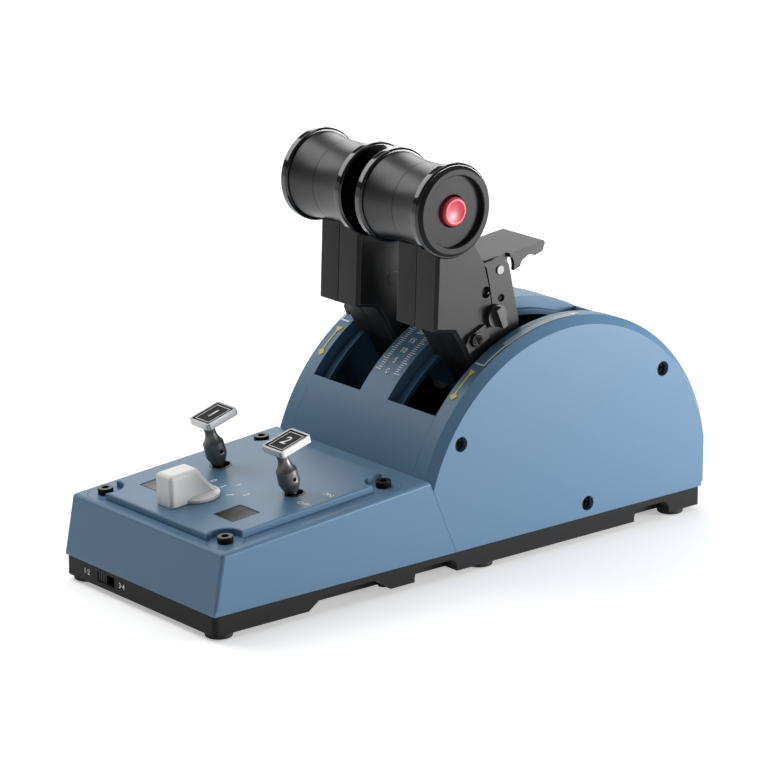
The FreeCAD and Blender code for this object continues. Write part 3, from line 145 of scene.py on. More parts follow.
edging = {"smoothTo": 38, "weight": 80, "bevelFrom": 32, "segments": 2, "weld": 3e-6,
          "facet": 0.5}


def smoothed(piece):
    pickOnly(piece)
    bpy.ops.object.shade_smooth_by_angle(angle=math.radians(edging["smoothTo"]))
    applyModifier(piece, "WEIGHTED_NORMAL", keep_sharp=True, weight=edging["weight"])
    keepPlanesFlat(piece)


def settle(piece, body, finish):
    piece.data.materials.clear()
    piece.data.materials.append(finish)
    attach(piece, body)
    return piece


def softened(node, finish, edge):
    # the node's own form with its facets merged and its sharp edges rounded over
    name = "".join(word.capitalize() for word in node.split("_"))
    piece = bpy.data.objects.new(name[0].lower() + name[1:], nodes[node].data.copy())
    bpy.context.scene.collection.objects.link(piece)
    editAll(piece)
    bpy.ops.mesh.customdata_custom_splitnormals_clear()
    bpy.ops.mesh.remove_doubles(threshold=edging["weld"])
    bpy.ops.mesh.dissolve_limited(angle_limit=math.radians(edging["facet"]))
    leaveEdit()
    # the second slot only marks the rounded edges, for the painted highlight along them
    piece.data.materials.clear()
    piece.data.materials.append(finish)
    piece.data.materials.append(finish)
    if edge:
        applyModifier(piece, "BEVEL", width=edge * mm, segments=edging["segments"],
                      limit_method="ANGLE", angle_limit=math.radians(edging["bevelFrom"]),
                      miter_outer="MITER_ARC", use_clamp_overlap=True, material=1)
    paintedHighlight = piece.data.attributes.new("wornEdge", "FLOAT", "FACE")
    for face in piece.data.polygons:
        paintedHighlight.data[face.index].value = float(face.material_index == 1)
        face.material_index = 0
    smoothed(piece)
    settle(piece, bodyOf[node], finish)
    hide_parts(node)
    return piece


# node groups shared by the finishes
def newGroup(name, inputs, outputs):
    group = bpy.data.node_groups.new(name, "ShaderNodeTree")
    for label, kind, value in inputs:
        socket = group.interface.new_socket(label, in_out="INPUT", socket_type=kind)
        socket.default_value = value
    for label, kind in outputs:
        group.interface.new_socket(label, in_out="OUTPUT", socket_type=kind)
    start = group.nodes.new("NodeGroupInput")
    end = group.nodes.new("NodeGroupOutput")
    return group, start, end


def addNode(tree, kind, **settings):
    node = tree.nodes.new(kind)
    for name, value in settings.items():
        if name.startswith("in_"):
            node.inputs[name[3:].replace("_", " ")].default_value = value
        else:
            setattr(node, name, value)
    return node


def driftOf(group, noise, amount):
    # half a noise to either side of the third input, by the given amount
    centred = addNode(group, "ShaderNodeMath", operation="SUBTRACT")
    group.links.new(noise, centred.inputs[0])
    centred.inputs[1].default_value = 0.5
    scaled = addNode(group, "ShaderNodeMath", operation="MULTIPLY_ADD")
    group.links.new(centred.outputs[0], scaled.inputs[0])
    group.links.new(amount, scaled.inputs[1])
    return scaled


# how many swings a metre each noise of the finishes has
noises = {"roughCloud": 38.0, "toneCloud": 14.0, "speck": 240.0, "haze": 60.0}


def makeGrainGroup():
    # spark-eroded mould grain: fine pits over a softer orange peel
    group, start, end = newGroup(
        "mouldGrain",
        [("Vector", "NodeSocketVector", (0, 0, 0)), ("Pit Scale", "NodeSocketFloat", 2600),
         ("Peel Scale", "NodeSocketFloat", 420), ("Peel Share", "NodeSocketFloat", 0.3),
         ("Roughness", "NodeSocketFloat", 0.4), ("Spread", "NodeSocketFloat", 0.08)],
        [("Height", "NodeSocketFloat"), ("Roughness", "NodeSocketFloat")])
    link = group.links.new
    pits = addNode(group, "ShaderNodeTexVoronoi", feature="SMOOTH_F1", in_Smoothness=0.6)
    link(start.outputs["Vector"], pits.inputs["Vector"])
    link(start.outputs["Pit Scale"], pits.inputs["Scale"])
    peel = addNode(group, "ShaderNodeTexNoise", in_Detail=3.0, in_Roughness=0.55)
    link(start.outputs["Vector"], peel.inputs["Vector"])
    link(start.outputs["Peel Scale"], peel.inputs["Scale"])
    blend = addNode(group, "ShaderNodeMix", data_type="FLOAT")
    link(start.outputs["Peel Share"], blend.inputs["Factor"])
    link(pits.outputs["Distance"], blend.inputs["A"])
    link(peel.outputs["Fac"], blend.inputs["B"])
    link(blend.outputs["Result"], end.inputs["Height"])
    cloud = addNode(group, "ShaderNodeTexNoise", in_Scale=noises["roughCloud"], in_Detail=4.0)
    link(start.outputs["Vector"], cloud.inputs["Vector"])
    scaled = driftOf(group, cloud.outputs["Fac"], start.outputs["Spread"])
    link(start.outputs["Roughness"], scaled.inputs[2])
    link(scaled.outputs[0], end.inputs["Roughness"])
    return group


def makeToneGroup():
    # slow colour drift of the moulding, with a painted highlight in specks along the rounded edges
    group, start, end = newGroup(
        "toneAndEdges",
        [("Vector", "NodeSocketVector", (0, 0, 0)),
         ("Color", "NodeSocketColor", (0.5, 0.5, 0.5, 1)),
         ("Edge Color", "NodeSocketColor", (0.6, 0.6, 0.6, 1)),
         ("Edge Amount", "NodeSocketFloat", 0.25), ("Drift", "NodeSocketFloat", 0.06)],
        [("Color", "NodeSocketColor")])
    link = group.links.new
    cloud = addNode(group, "ShaderNodeTexNoise", in_Scale=noises["toneCloud"], in_Detail=5.0)
    link(start.outputs["Vector"], cloud.inputs["Vector"])
    gain = driftOf(group, cloud.outputs["Fac"], start.outputs["Drift"])
    gain.inputs[2].default_value = 1.0
    shade = addNode(group, "ShaderNodeVectorMath", operation="SCALE")
    link(start.outputs["Color"], shade.inputs[0])
    link(gain.outputs[0], shade.inputs["Scale"])
    # painted highlight: the rounded edges are lightened towards the edge colour, in specks
    ridge = addNode(group, "ShaderNodeAttribute", attribute_name="wornEdge")
    speck = addNode(group, "ShaderNodeTexNoise", in_Scale=noises["speck"], in_Detail=4.0)
    link(start.outputs["Vector"], speck.inputs["Vector"])
    paintedHighlight = addNode(group, "ShaderNodeMath", operation="MULTIPLY")
    link(ridge.outputs["Fac"], paintedHighlight.inputs[0])
    link(speck.outputs["Fac"], paintedHighlight.inputs[1])
    amount = addNode(group, "ShaderNodeMath", operation="MULTIPLY", use_clamp=True)
    link(paintedHighlight.outputs[0], amount.inputs[0])
    link(start.outputs["Edge Amount"], amount.inputs[1])
    mix = addNode(group, "ShaderNodeMix", data_type="RGBA")
    link(amount.outputs[0], mix.inputs["Factor"])
    link(shade.outputs[0], mix.inputs["A"])
    link(start.outputs["Edge Color"], mix.inputs["B"])
    link(mix.outputs["Result"], end.inputs["Color"])
    return group


grainGroup = makeGrainGroup()
toneGroup = makeToneGroup()


def objectSpace(tree):
    return addNode(tree, "ShaderNodeTexCoord").outputs["Object"]


def startMaterial(name):
    material = bpy.data.materials.new(name)
    material.use_nodes = True
    return material, material.node_tree, material.node_tree.nodes["Principled BSDF"]


# what a finish has unless it says otherwise; a bare edge colour, the painted highlight along the
# rounded edges, is made from the finish's own
mouldedUsual = {"pitScale": 2600.0, "peelScale": 420.0, "peel": 0.3, "bump": 0.25, "deep": 4e-5,
                "edge": 0.3, "edgeGain": 1.6, "edgeLift": 0.02, "spread": 0.08, "drift": 0.06,
                "coat": 0.0, "coatRough": 0.08, "specular": 0.5, "metallic": 0.0}
metalUsual = {"pitScale": 3000.0, "peelScale": 1500.0, "peel": 0.8, "bump": 0.15, "deep": 2e-5,
              "edge": 0.25, "edgeGain": 1.4, "edgeLift": 0.05, "spread": 0.1, "drift": 0.1,
              "coat": 0.0, "coatRough": 0.03, "specular": 0.5, "metallic": 1.0}


def makeFinish(name, usual, own):
    look = {**usual, **own}
    material, tree, surface = startMaterial(name)
    link = tree.links.new
    place = objectSpace(tree)
    grain = addNode(tree, "ShaderNodeGroup", node_tree=grainGroup, in_Pit_Scale=look["pitScale"],
                    in_Peel_Scale=look["peelScale"], in_Peel_Share=look["peel"],
                    in_Roughness=look["rough"], in_Spread=look["spread"])
    link(place, grain.inputs["Vector"])
    # the edge colour is a painted highlight, lighter than the finish's own colour
    light = look.get("edgeColor") or [min(1.0, part * look["edgeGain"] + look["edgeLift"])
                                      for part in look["color"]]
    tone = addNode(tree, "ShaderNodeGroup", node_tree=toneGroup, in_Color=(*look["color"], 1),
                   in_Edge_Color=(*light, 1), in_Edge_Amount=look["edge"], in_Drift=look["drift"])
    link(place, tone.inputs["Vector"])
    link(tone.outputs["Color"], surface.inputs["Base Color"])
    link(grain.outputs["Roughness"], surface.inputs["Roughness"])
    relief = addNode(tree, "ShaderNodeBump", in_Strength=look["bump"], in_Distance=look["deep"])
    link(grain.outputs["Height"], relief.inputs["Height"])
    link(relief.outputs["Normal"], surface.inputs["Normal"])
    surface.inputs["Metallic"].default_value = look["metallic"]
    surface.inputs["Coat Weight"].default_value = look["coat"]
    surface.inputs["Coat Roughness"].default_value = look["coatRough"]
    surface.inputs["Specular IOR Level"].default_value = look["specular"]
    return material


# edgeColor and edge set how light and how strong each finish's painted edge highlight is
mouldings = {
    "blueShell": {"color": (0.098, 0.198, 0.315), "rough": 0.42, "pitScale": 2300.0,
                  "bump": 0.22, "edgeColor": (0.30, 0.44, 0.58), "edge": 0.5,
                  "specular": 0.38, "spread": 0.02, "drift": 0.03},
    # painted shade: a darker copy of the blue shell for the slot walls, which lie in shade; its
    # light edges are painted highlight
    "slotBlue": {"color": (0.05, 0.115, 0.20), "rough": 0.5, "pitScale": 2300.0, "bump": 0.22,
                 "edgeColor": (0.22, 0.36, 0.50), "edge": 0.6, "specular": 0.2},
    "blackTray": {"color": (0.012, 0.012, 0.013), "rough": 0.5, "pitScale": 1800.0,
                  "bump": 0.4, "edge": 0.25, "specular": 0.16},
    "footRubber": {"color": (0.012, 0.012, 0.012), "rough": 0.8, "pitScale": 1500.0,
                   "bump": 0.5, "edge": 0.1},
    "blackCasing": {"color": (0.017, 0.017, 0.018), "rough": 0.42, "pitScale": 2400.0,
                    "bump": 0.22, "edgeColor": (0.2, 0.2, 0.2), "edge": 0.7,
                    "specular": 0.24},
    "blackGrip": {"color": (0.009, 0.009, 0.009), "rough": 0.33, "pitScale": 2000.0,
                  "edgeColor": (0.12, 0.12, 0.12), "specular": 0.5},
    "glossRing": {"color": (0.003, 0.003, 0.003), "rough": 0.1, "pitScale": 900.0,
                  "bump": 0.01, "edge": 0.05, "coat": 0.7, "spread": 0.03},
    "satinCap": {"color": (0.014, 0.014, 0.0145), "rough": 0.42, "bump": 0.2,
                 "specular": 0.16},
    "redButton": {"color": (0.60, 0.026, 0.058), "rough": 0.35, "pitScale": 2400.0,
                  "bump": 0.12, "edgeColor": (0.95, 0.3, 0.35), "edge": 0.5},
    "whiteKnob": {"color": (0.74, 0.74, 0.73), "rough": 0.33, "pitScale": 1900.0,
                  "bump": 0.14, "edgeColor": (0.9, 0.9, 0.9), "edge": 0.4, "drift": 0.03},
    "blackPaint": {"color": (0.022, 0.022, 0.023), "rough": 0.4, "pitScale": 1500.0,
                   "bump": 0.4, "edgeColor": (0.2, 0.2, 0.2), "edge": 0.5, "peel": 0.6,
                   "specular": 0.28},
    "lockPlastic": {"color": (0.016, 0.016, 0.016), "rough": 0.38, "pitScale": 2400.0,
                    "edgeColor": (0.22, 0.22, 0.22), "edge": 0.5},
    "labelCard": {"color": (0.003, 0.003, 0.003), "rough": 0.4, "pitScale": 1200.0,
                  "bump": 0.03, "edge": 0.0, "specular": 0.08},
    "boardGreen": {"color": (0.02, 0.12, 0.05), "rough": 0.35, "pitScale": 900.0, "bump": 0.1},
    "caseBlack": {"color": (0.006, 0.006, 0.006), "rough": 0.5, "pitScale": 1500.0,
                  "bump": 0.3, "specular": 0.15},
    "printWhite": {"color": (0.84, 0.86, 0.88), "rough": 0.5, "pitScale": 3000.0,
                   "bump": 0.1, "edge": 0.0},
    "printYellow": {"color": (0.72, 0.62, 0.06), "rough": 0.5, "pitScale": 3000.0,
                    "bump": 0.1, "edge": 0.0},
    "printPale": {"color": (0.42, 0.52, 0.60), "rough": 0.5, "pitScale": 3000.0,
                  "bump": 0.1, "edge": 0.0},
    "blackOxide": {"color": (0.005, 0.005, 0.006), "rough": 0.22, "bump": 0.1, "edge": 0.15,
                   "edgeColor": (0.3, 0.3, 0.3), "specular": 0.12},
}
metals = {
    "gunMetal": {"color": (0.16, 0.157, 0.153), "rough": 0.4, "bump": 0.04, "spread": 0.05,
                 "metallic": 0.7},
    "brightTray": {"color": (0.5, 0.5, 0.495), "rough": 0.34, "bump": 0.03, "spread": 0.05},
    "pinSteel": {"color": (0.16, 0.16, 0.16), "rough": 0.45, "bump": 0.05, "metallic": 0.8},
    "satinSteel": {"color": (0.5, 0.5, 0.5), "rough": 0.28},
    "frameMetal": {"color": (0.012, 0.012, 0.013), "rough": 0.5, "metallic": 0.5},
}
finishes = {name: makeFinish(name, mouldedUsual, own) for name, own in mouldings.items()}
finishes.update({name: makeFinish(name, metalUsual, own) for name, own in metals.items()})

# greys of the film, dark smoke with a painted reflection that lightens towards one end of each
# window, from the left end of both windows to the right end, in metres from the middle
smoked = {"reach": 0.034, "rough": (0.2, 0.28), "specular": 0.04,
          "greys": ((0.0, 0.06), (0.2, 0.24), (0.5, 0.02), (0.8, 0.0), (0.9, 0.006),
                    (1.0, 0.07))}


def makeSmokedWindow():
    material, tree, surface = startMaterial("smokedWindow")
    link = tree.links.new
    place = objectSpace(tree)
    # painted reflection: the film's grey rises and falls across each window over its dark smoke
    along = addNode(tree, "ShaderNodeSeparateXYZ")
    link(place, along.inputs[0])
    across = addNode(tree, "ShaderNodeMapRange", in_From_Min=-smoked["reach"],
                     in_From_Max=smoked["reach"])
    link(along.outputs["X"], across.inputs["Value"])
    ramp = addNode(tree, "ShaderNodeValToRGB")
    stops = ramp.color_ramp.elements
    for at, grey in smoked["greys"]:
        stop = stops[0] if at == 0 else stops[-1] if at == 1 else stops.new(at)
        stop.color = (grey, grey, grey, 1)
    link(across.outputs["Result"], ramp.inputs["Fac"])
    link(ramp.outputs["Color"], surface.inputs["Base Color"])
    # and is a little uneven
    haze = addNode(tree, "ShaderNodeTexNoise", in_Scale=noises["haze"], in_Detail=3.0)
    link(place, haze.inputs["Vector"])
    low, high = smoked["rough"]
    spread = addNode(tree, "ShaderNodeMapRange", in_To_Min=low, in_To_Max=high)
    link(haze.outputs["Fac"], spread.inputs["Value"])
    link(spread.outputs["Result"], surface.inputs["Roughness"])
    surface.inputs["Specular IOR Level"].default_value = smoked["specular"]
    return material


finishes["smokedWindow"] = makeSmokedWindow()
print("finishes made")

# each piece's finish, and how far its edges are rounded, in millimetres
housingEdges = {"base_tray": ("blackTray", 0.4), "rubber_feet": ("footRubber", 0.3),
                "console_cover": ("blueShell", 0.3), "quadrant_cover": ("blueShell", 0.3),
                # the slot guard takes the darker blue, painted shade for the slot walls
                "slot_guard": ("slotBlue", 0.3), "left_cheek": ("blueShell", 0.55),
                "right_cheek": ("blueShell", 0.55), "top_plate": ("blueShell", 0.15),
                "cheek_screws": ("blackOxide", 0.2), "base_screws": ("blackOxide", 0.2),
                "plate_screws": ("blackOxide", 0.22), "status_windows": ("smokedWindow", 0.12),
                "toggle_bushings": ("blackOxide", 0.15), "cable_inlet": ("satinSteel", 0.1),
                "slide_knob": ("blackCasing", 0.1), "slide_switch": ("caseBlack", 0.1)}
for node, (finish, edge) in housingEdges.items():
    softened(node, finishes[finish], edge)
print("housing dressed")

switchEdges = {"mode_knob": ("whiteKnob", 0.5), "left_toggle_sleeve": ("gunMetal", 0.22),
               "right_toggle_sleeve": ("gunMetal", 0.22), "left_toggle_label": ("labelCard", 0.08),
               "right_toggle_label": ("labelCard", 0.08), "left_toggle_stem": ("satinSteel", 0.1),
               "right_toggle_stem": ("satinSteel", 0.1)}
switches = {node: softened(node, finishes[finish], edge)
            for node, (finish, edge) in switchEdges.items()}
toggleHead = {"from": 25.7, "centre": 3.9, "grow": 1.09}


def growHead(piece, side):
    # the tray-shaped head and its label, a little larger about the middle of the head
    seat = onToggle(side, 0, 0, 0)
    axes = [(onToggle(side, *end) - seat).normalized()
            for end in ((1, 0, 0), (0, 1, 0), (0, 0, 1))]
    middle, grow = toggleHead["centre"], toggleHead["grow"]
    for vertex in piece.data.vertices:
        u, v, h = ((vertex.co - seat).dot(axis) / mm for axis in axes)
        if h > toggleHead["from"]:
            vertex.co = onToggle(side, u * grow, middle + (v - middle) * grow, h)


def brightenHead(piece, side):
    # the tray-shaped head is polished, the barrel below it is grey
    piece.data.materials.append(finishes["brightTray"])
    seat = onToggle(side, 0, 0, 0)
    up = (onToggle(side, 0, 0, 1) - seat).normalized()
    for face in piece.data.polygons:
        if (face.center - seat).dot(up) > toggleHead["from"] * mm:
            face.material_index = 1


for side, name in sides:
    growHead(switches[f"{name}_toggle_sleeve"], side)
    growHead(switches[f"{name}_toggle_label"], side)
    brightenHead(switches[f"{name}_toggle_sleeve"], side)
print("switches dressed")

leverEdges = {"lever_arm": ("blackCasing", 0.4), "casing_inner": ("blackCasing", 0.4),
              "casing_outer": ("blackCasing", 0.4), "grip_inner": ("blackGrip", 0.12),
              "grip_outer": ("blackGrip", 0.12), "grip_rings": ("glossRing", 0.2),
              "end_cap": ("satinCap", 0.35), "red_button": ("redButton", 0.5),
              "reverser_bracket": ("blackPaint", 0), "reverser_paddle": ("blackPaint", 0.45),
              "paddle_pin": ("pinSteel", 0.15), "lock_knob": ("lockPlastic", 0.35),
              "bracket_screw": ("blackOxide", 0.25)}
lever = {"outer": 41.0, "seam": 27.0, "seamReach": 0.7, "opening": 0.16, "gripZ": 160.0,
         "button": 0.93}


def openSeam(piece):
    # the two halves of the casing meet in a fine dark groove
    for vertex in piece.data.vertices:
        away = abs(vertex.co.x) / mm - lever["seam"]
        near = 1 - abs(away) / lever["seamReach"]
        if near > 0:
            step = math.copysign(lever["opening"] * near, away)
            vertex.co.x += step * mm * math.copysign(1, vertex.co.x)


def slimButton(piece):
    # the button, a little smaller about the grip's axis
    axis = onLever(0, 0, lever["gripZ"])
    for vertex in piece.data.vertices:
        vertex.co.y = axis.y + (vertex.co.y - axis.y) * lever["button"]
        vertex.co.z = axis.z + (vertex.co.z - axis.z) * lever["button"]


for side, name in sides:
    for part, (finish, edge) in leverEdges.items():
        piece = softened(f"{name}_{part}", finishes[finish], edge)
        if part.startswith("casing"):
            openSeam(piece)
        if part == "red_button":
            slimButton(piece)


# blind cups that close the holes in the outer casing's side, in millimetres: along and up the
# lever, inwards from its side, and the cup's own size
backings = {"NotchBacking": {"place": (6.5, 111.6), "sink": 2.9, "radius": 2.85, "depth": 1.6,
                             "hollow": 0.5},
            "Eyelet": {"place": (12.4, 104.3), "sink": 0.75, "radius": 1.78, "depth": 1.7,
                       "hollow": 1.2}}
cup = {"facets": 32, "wall": 0.3, "edge": 0.1, "facing": 0.9}


def turnedBacking(side, name, part, size):
    pickNone()
    bpy.ops.mesh.primitive_cylinder_add(
        vertices=cup["facets"], radius=size["radius"] * mm, depth=size["depth"] * mm,
        location=onLever((lever["outer"] - size["sink"]) * side, *size["place"]),
        rotation=(0, math.radians(90), 0))
    piece = bpy.context.object
    piece.name = name + part
    bpy.ops.object.transform_apply(location=True, rotation=True, scale=True)
    editAll(piece)
    bpy.ops.mesh.select_all(action="DESELECT")
    leaveEdit()
    for face in piece.data.polygons:
        face.select = face.normal.x * side > cup["facing"]
    bpy.ops.object.mode_set(mode="EDIT")
    bpy.ops.mesh.inset(thickness=size["radius"] * cup["wall"] * mm)
    bpy.ops.transform.translate(value=(-size["hollow"] * side * mm, 0, 0))
    bpy.ops.mesh.select_all(action="SELECT")
    bpy.ops.mesh.normals_make_consistent(inside=False)
    leaveEdit()
    applyModifier(piece, "BEVEL", width=cup["edge"] * mm, segments=edging["segments"],
                  limit_method="ANGLE")
    smoothed(piece)
    settle(piece, name + "_lever", finishes["caseBlack"])


for side, name in sides:
    for part, size in backings.items():
        turnedBacking(side, name, part, size)
print("levers dressed")

# pieces that keep the solids' own shape, inside the housing
insideFinishes = {"toggle_bases": "caseBlack", "mode_switch": "caseBlack",
                  "mode_shaft": "satinSteel", "console_board": "boardGreen",
                  "main_board": "boardGreen", "sensor_boards": "boardGreen",
                  "quadrant_frame": "frameMetal", "detent_sectors": "frameMetal",
                  "pivot_shaft": "satinSteel", "left_button_switch": "caseBlack",
                  "right_button_switch": "caseBlack"}
for node, finish in insideFinishes.items():
    nodes[node].data.materials.clear()
    nodes[node].data.materials.append(finishes[finish])
print("inside finished")

# printed marks: flat shapes laid on the surface, with a skin of ink
ink = {"lift": 0.03, "thickness": 0.04, "weld": 2e-6}
digitBold = 0.12  # how far the outline of a digit grows, in millimetres
typeface = {"capShare": 0.7, "curveSteps": 3}


def flatten(piece):
    # a text or a filled curve becomes a mesh in its own plane
    pickOnly(piece)
    bpy.ops.object.convert(target="MESH")
    return bpy.context.object


def lettering(words, height, bold):
    pickNone()
    bpy.ops.object.text_add()
    text = bpy.context.object
    text.data.body = words
    text.data.size = height * mm / typeface["capShare"]
    text.data.align_x = "CENTER"
    text.data.align_y = "CENTER"
    text.data.offset = bold * mm
    text.data.resolution_u = typeface["curveSteps"]
    return flatten(text)


def outline(points):
    # a filled flat shape from its corner points, in millimetres
    curve = bpy.data.curves.new("outline", "CURVE")
    curve.dimensions = "2D"
    curve.fill_mode = "BOTH"
    spline = curve.splines.new("POLY")
    spline.points.add(len(points) - 1)
    for point, (u, v) in zip(spline.points, points):
        point.co = (u * mm, v * mm, 0, 1)
    spline.use_cyclic_u = True
    piece = bpy.data.objects.new("outline", curve)
    bpy.context.scene.collection.objects.link(piece)
    return flatten(piece)


def bar(u0, u1, v0, v1):
    return outline([(u0, v0), (u1, v0), (u1, v1), (u0, v1)])


def lay(piece, spot, cuts=0):
    # spot turns the flat piece's u and v, in millimetres, into a place on the object
    if cuts:
        editAll(piece)
        bpy.ops.mesh.subdivide(number_cuts=cuts)
        leaveEdit()
    for vertex in piece.data.vertices:
        vertex.co = spot(vertex.co.x / mm, vertex.co.y / mm)
    return piece


def printed(name, pieces, finish, body):
    pickOnly(*pieces)
    if len(pieces) > 1:
        bpy.ops.object.join()
    piece = bpy.context.object
    piece.name = name
    editAll(piece)
    bpy.ops.mesh.remove_doubles(threshold=ink["weld"])
    bpy.ops.mesh.normals_make_consistent(inside=False)
    leaveEdit()
    applyModifier(piece, "SOLIDIFY", thickness=ink["thickness"] * mm, offset=0.0)
    return settle(piece, body, finishes[finish])


def drumSpot(side, x0, angle0):
    # u across from x0, v forward over the drum from angle0
    def spot(u, v):
        turn = math.degrees(v / housing["drumRadius"])
        return onDrum((x0 + u) * side, angle0 - turn, ink["lift"])
    return spot


def plateSpot(x, s):
    # u across and v up the switch plate from its point x, s
    return lambda u, v: onConsole(x + u, s + v, housing["plateRise"] + ink["lift"])


scale = {"zeroAt": 134.5, "degreesPerUnit": 0.8, "last": 45, "long": 5, "tickInner": 4.6,
         "tickOuter": 7.0, "longOuter": 8.3, "tickWide": 0.42, "digits": 2.9}


def makeDrumScale():
    pieces = []
    half = scale["tickWide"] / 2
    for unit in range(scale["last"] + 1):
        spot = drumSpot(1, 0, scale["zeroAt"] - unit * scale["degreesPerUnit"])
        long = unit % scale["long"] == 0
        outer = scale["longOuter"] if long else scale["tickOuter"]
        for side in (-1, 1):
            pieces.append(lay(bar(scale["tickInner"] * side, outer * side, -half, half), spot))
        if long:
            pieces.append(lay(lettering(str(unit), scale["digits"], digitBold), spot))
    printed("drumScale", pieces, "printWhite", "base")


# an arrow, a line and a strip on each rim; across from the rim's outer line unless said
rimMarks = {"arrowAt": 131.0, "arrowHalf": 8.6, "arrowX": 46.6, "lineStart": 123.0,
            "lineEnd": 113.5, "stripEnd": 87.0, "lineX": 49.8, "lineHalf": 0.4,
            "lineInner": 44.2, "strip": (-2.6, 0.5), "trim": (0.5, 0.8),
            "tip": (-2.9, -1.1, 0.6), "tipLong": 5.0}
rimCuts = {"arrow": 5, "line": 24, "short": 2, "strip": 30}  # so that each mark bends


def makeRimMarks():
    h = rimMarks["arrowHalf"]
    arrow = [(0, -h), (2.1, -h + 2.2), (0.4, -h + 3.6), (0.4, h - 3.4), (1.9, h - 0.5), (-1.9, h),
             (-0.4, h - 3.4), (-0.4, -h + 3.6), (-2.1, -h + 1.8)]
    x, half = rimMarks["lineX"], rimMarks["lineHalf"]
    radius = housing["drumRadius"]
    run = math.radians(rimMarks["lineStart"] - rimMarks["lineEnd"]) * radius
    length = math.radians(rimMarks["lineEnd"] - rimMarks["stripEnd"]) * radius
    left, middle, right = rimMarks["tip"]
    tip = [(x + left, length), (x + right, length), (x + middle, length + rimMarks["tipLong"])]
    arrows, lines, strips = [], [], []
    for side in (-1, 1):
        arrowSpot = drumSpot(side, rimMarks["arrowX"], rimMarks["arrowAt"])
        lineSpot = drumSpot(side, 0, rimMarks["lineStart"])
        stripSpot = drumSpot(side, 0, rimMarks["lineEnd"])
        arrows.append(lay(outline(arrow), arrowSpot, rimCuts["arrow"]))
        lines.append(lay(bar(x - half, x + half, 0, run), lineSpot, rimCuts["line"]))
        lines.append(lay(bar(rimMarks["lineInner"], x + half, -half, half), lineSpot,
                         rimCuts["short"]))
        inner, outer = rimMarks["strip"]
        strips.append(lay(bar(x + inner, x + outer, 0, length), stripSpot, rimCuts["strip"]))
        lines.append(lay(outline(tip), stripSpot, rimCuts["short"]))
        inner, outer = rimMarks["trim"]
        lines.append(lay(bar(x + inner, x + outer, 0, length), stripSpot, rimCuts["strip"]))
    printed("rimArrows", arrows, "printYellow", "base")
    printed("rimLines", lines, "printWhite", "base")
    printed("rimStrips", strips, "printPale", "base")


# words with their place across and up the plate and their height; dashes round the knob
plateMarks = {"words": (("ON", 39.6, 69.2, 2.7), ("OFF", 39.6, 55.4, 2.7), ("1", 0.4, 50.4, 3.2),
                        ("0", -12.4, 46.6, 3.2), ("2", 12.6, 45.6, 3.2)),
              "bold": 0.05, "dashTurns": (-45, 0, 45), "dashHalf": 0.35, "dashRun": (13.2, 16.6),
              "knobX": -3.5, "knobS": 30.2}


def makePlateMarks():
    pieces = [lay(lettering(words, height, plateMarks["bold"]), plateSpot(x, s))
              for words, x, s, height in plateMarks["words"]]
    knobSpot = plateSpot(plateMarks["knobX"], plateMarks["knobS"])
    half = plateMarks["dashHalf"]
    for angle in plateMarks["dashTurns"]:
        a = math.radians(angle)
        pieces.append(lay(bar(-half, half, *plateMarks["dashRun"]), lambda u, v, a=a: knobSpot(
            u * math.cos(a) + v * math.sin(a), v * math.cos(a) - u * math.sin(a))))
    printed("plateMarks", pieces, "printWhite", "base")


windowFrames = {"x": 26.8, "s": 29.2, "half": (6.65, 7.15), "wide": 0.4}


def makeWindowFrames():
    halfX, halfS = windowFrames["half"]
    wide = windowFrames["wide"]
    bars = ((-halfX - wide, halfX + wide, halfS, halfS + wide),
            (-halfX - wide, halfX + wide, -halfS - wide, -halfS),
            (-halfX - wide, -halfX, -halfS, halfS), (halfX, halfX + wide, -halfS, halfS))
    pieces = [lay(bar(*corners), plateSpot(side * windowFrames["x"], windowFrames["s"]))
              for side in (-1, 1) for corners in bars]
    printed("windowFrames", pieces, "caseBlack", "base")


trayMarks = {"words": (("1·2", -38.6), ("3·4", -12.6)), "z": 7.0, "height": 2.5, "bold": 0.04}


def makeTrayMarks():
    y = housing["frontY"] - ink["lift"]
    pieces = [lay(lettering(words, trayMarks["height"], trayMarks["bold"]),
                  lambda u, v, x=x: Vector((x + u, y, trayMarks["z"] + v)) * mm)
              for words, x in trayMarks["words"]]
    printed("trayMarks", pieces, "printWhite", "base")


labelMarks = {"digit": 5.8, "card": (10.9, 13.8), "frameInset": 1.1, "frameWide": 0.34}


def makeLabelMarks(side, name, number):
    seat = onToggle(side, 0, 0, 0)
    up = (onToggle(side, 0, 0, 1) - seat).normalized()
    card = switches[name + "_toggle_label"]
    top = max((vertex.co - seat).dot(up) for vertex in card.data.vertices) / mm

    def spot(u, v):
        return onToggle(side, u, toggleHead["centre"] + v, top + ink["lift"])

    half, reach = (size * toggleHead["grow"] / 2 - labelMarks["frameInset"]
                   for size in labelMarks["card"])
    wide = labelMarks["frameWide"]
    bars = ((-half, half, reach - wide, reach), (-half, half, -reach, -reach + wide),
            (-half, -half + wide, -reach, reach), (half - wide, half, -reach, reach))
    pieces = [lay(lettering(number, labelMarks["digit"], digitBold), spot)]
    pieces += [lay(bar(*corners), spot) for corners in bars]
    printed(name + "ToggleMarks", pieces, "printWhite", name + "_toggle_pull")


makeDrumScale()
makeRimMarks()
makePlateMarks()
makeWindowFrames()
makeTrayMarks()
for (side, name), number in zip(sides, ("1", "2")):
    makeLabelMarks(side, name, number)
print("marks printed")

# the floor with a low wall all round, which closes the horizon
ground = {"color": (0.9, 0.9, 0.9), "rough": 0.9, "lift": 0.4, "size": 14, "drop": 0.0002,
          "wallRadius": 6.9, "wallHeight": 1.2, "wallMiddle": 0.59, "wallFacets": 96}


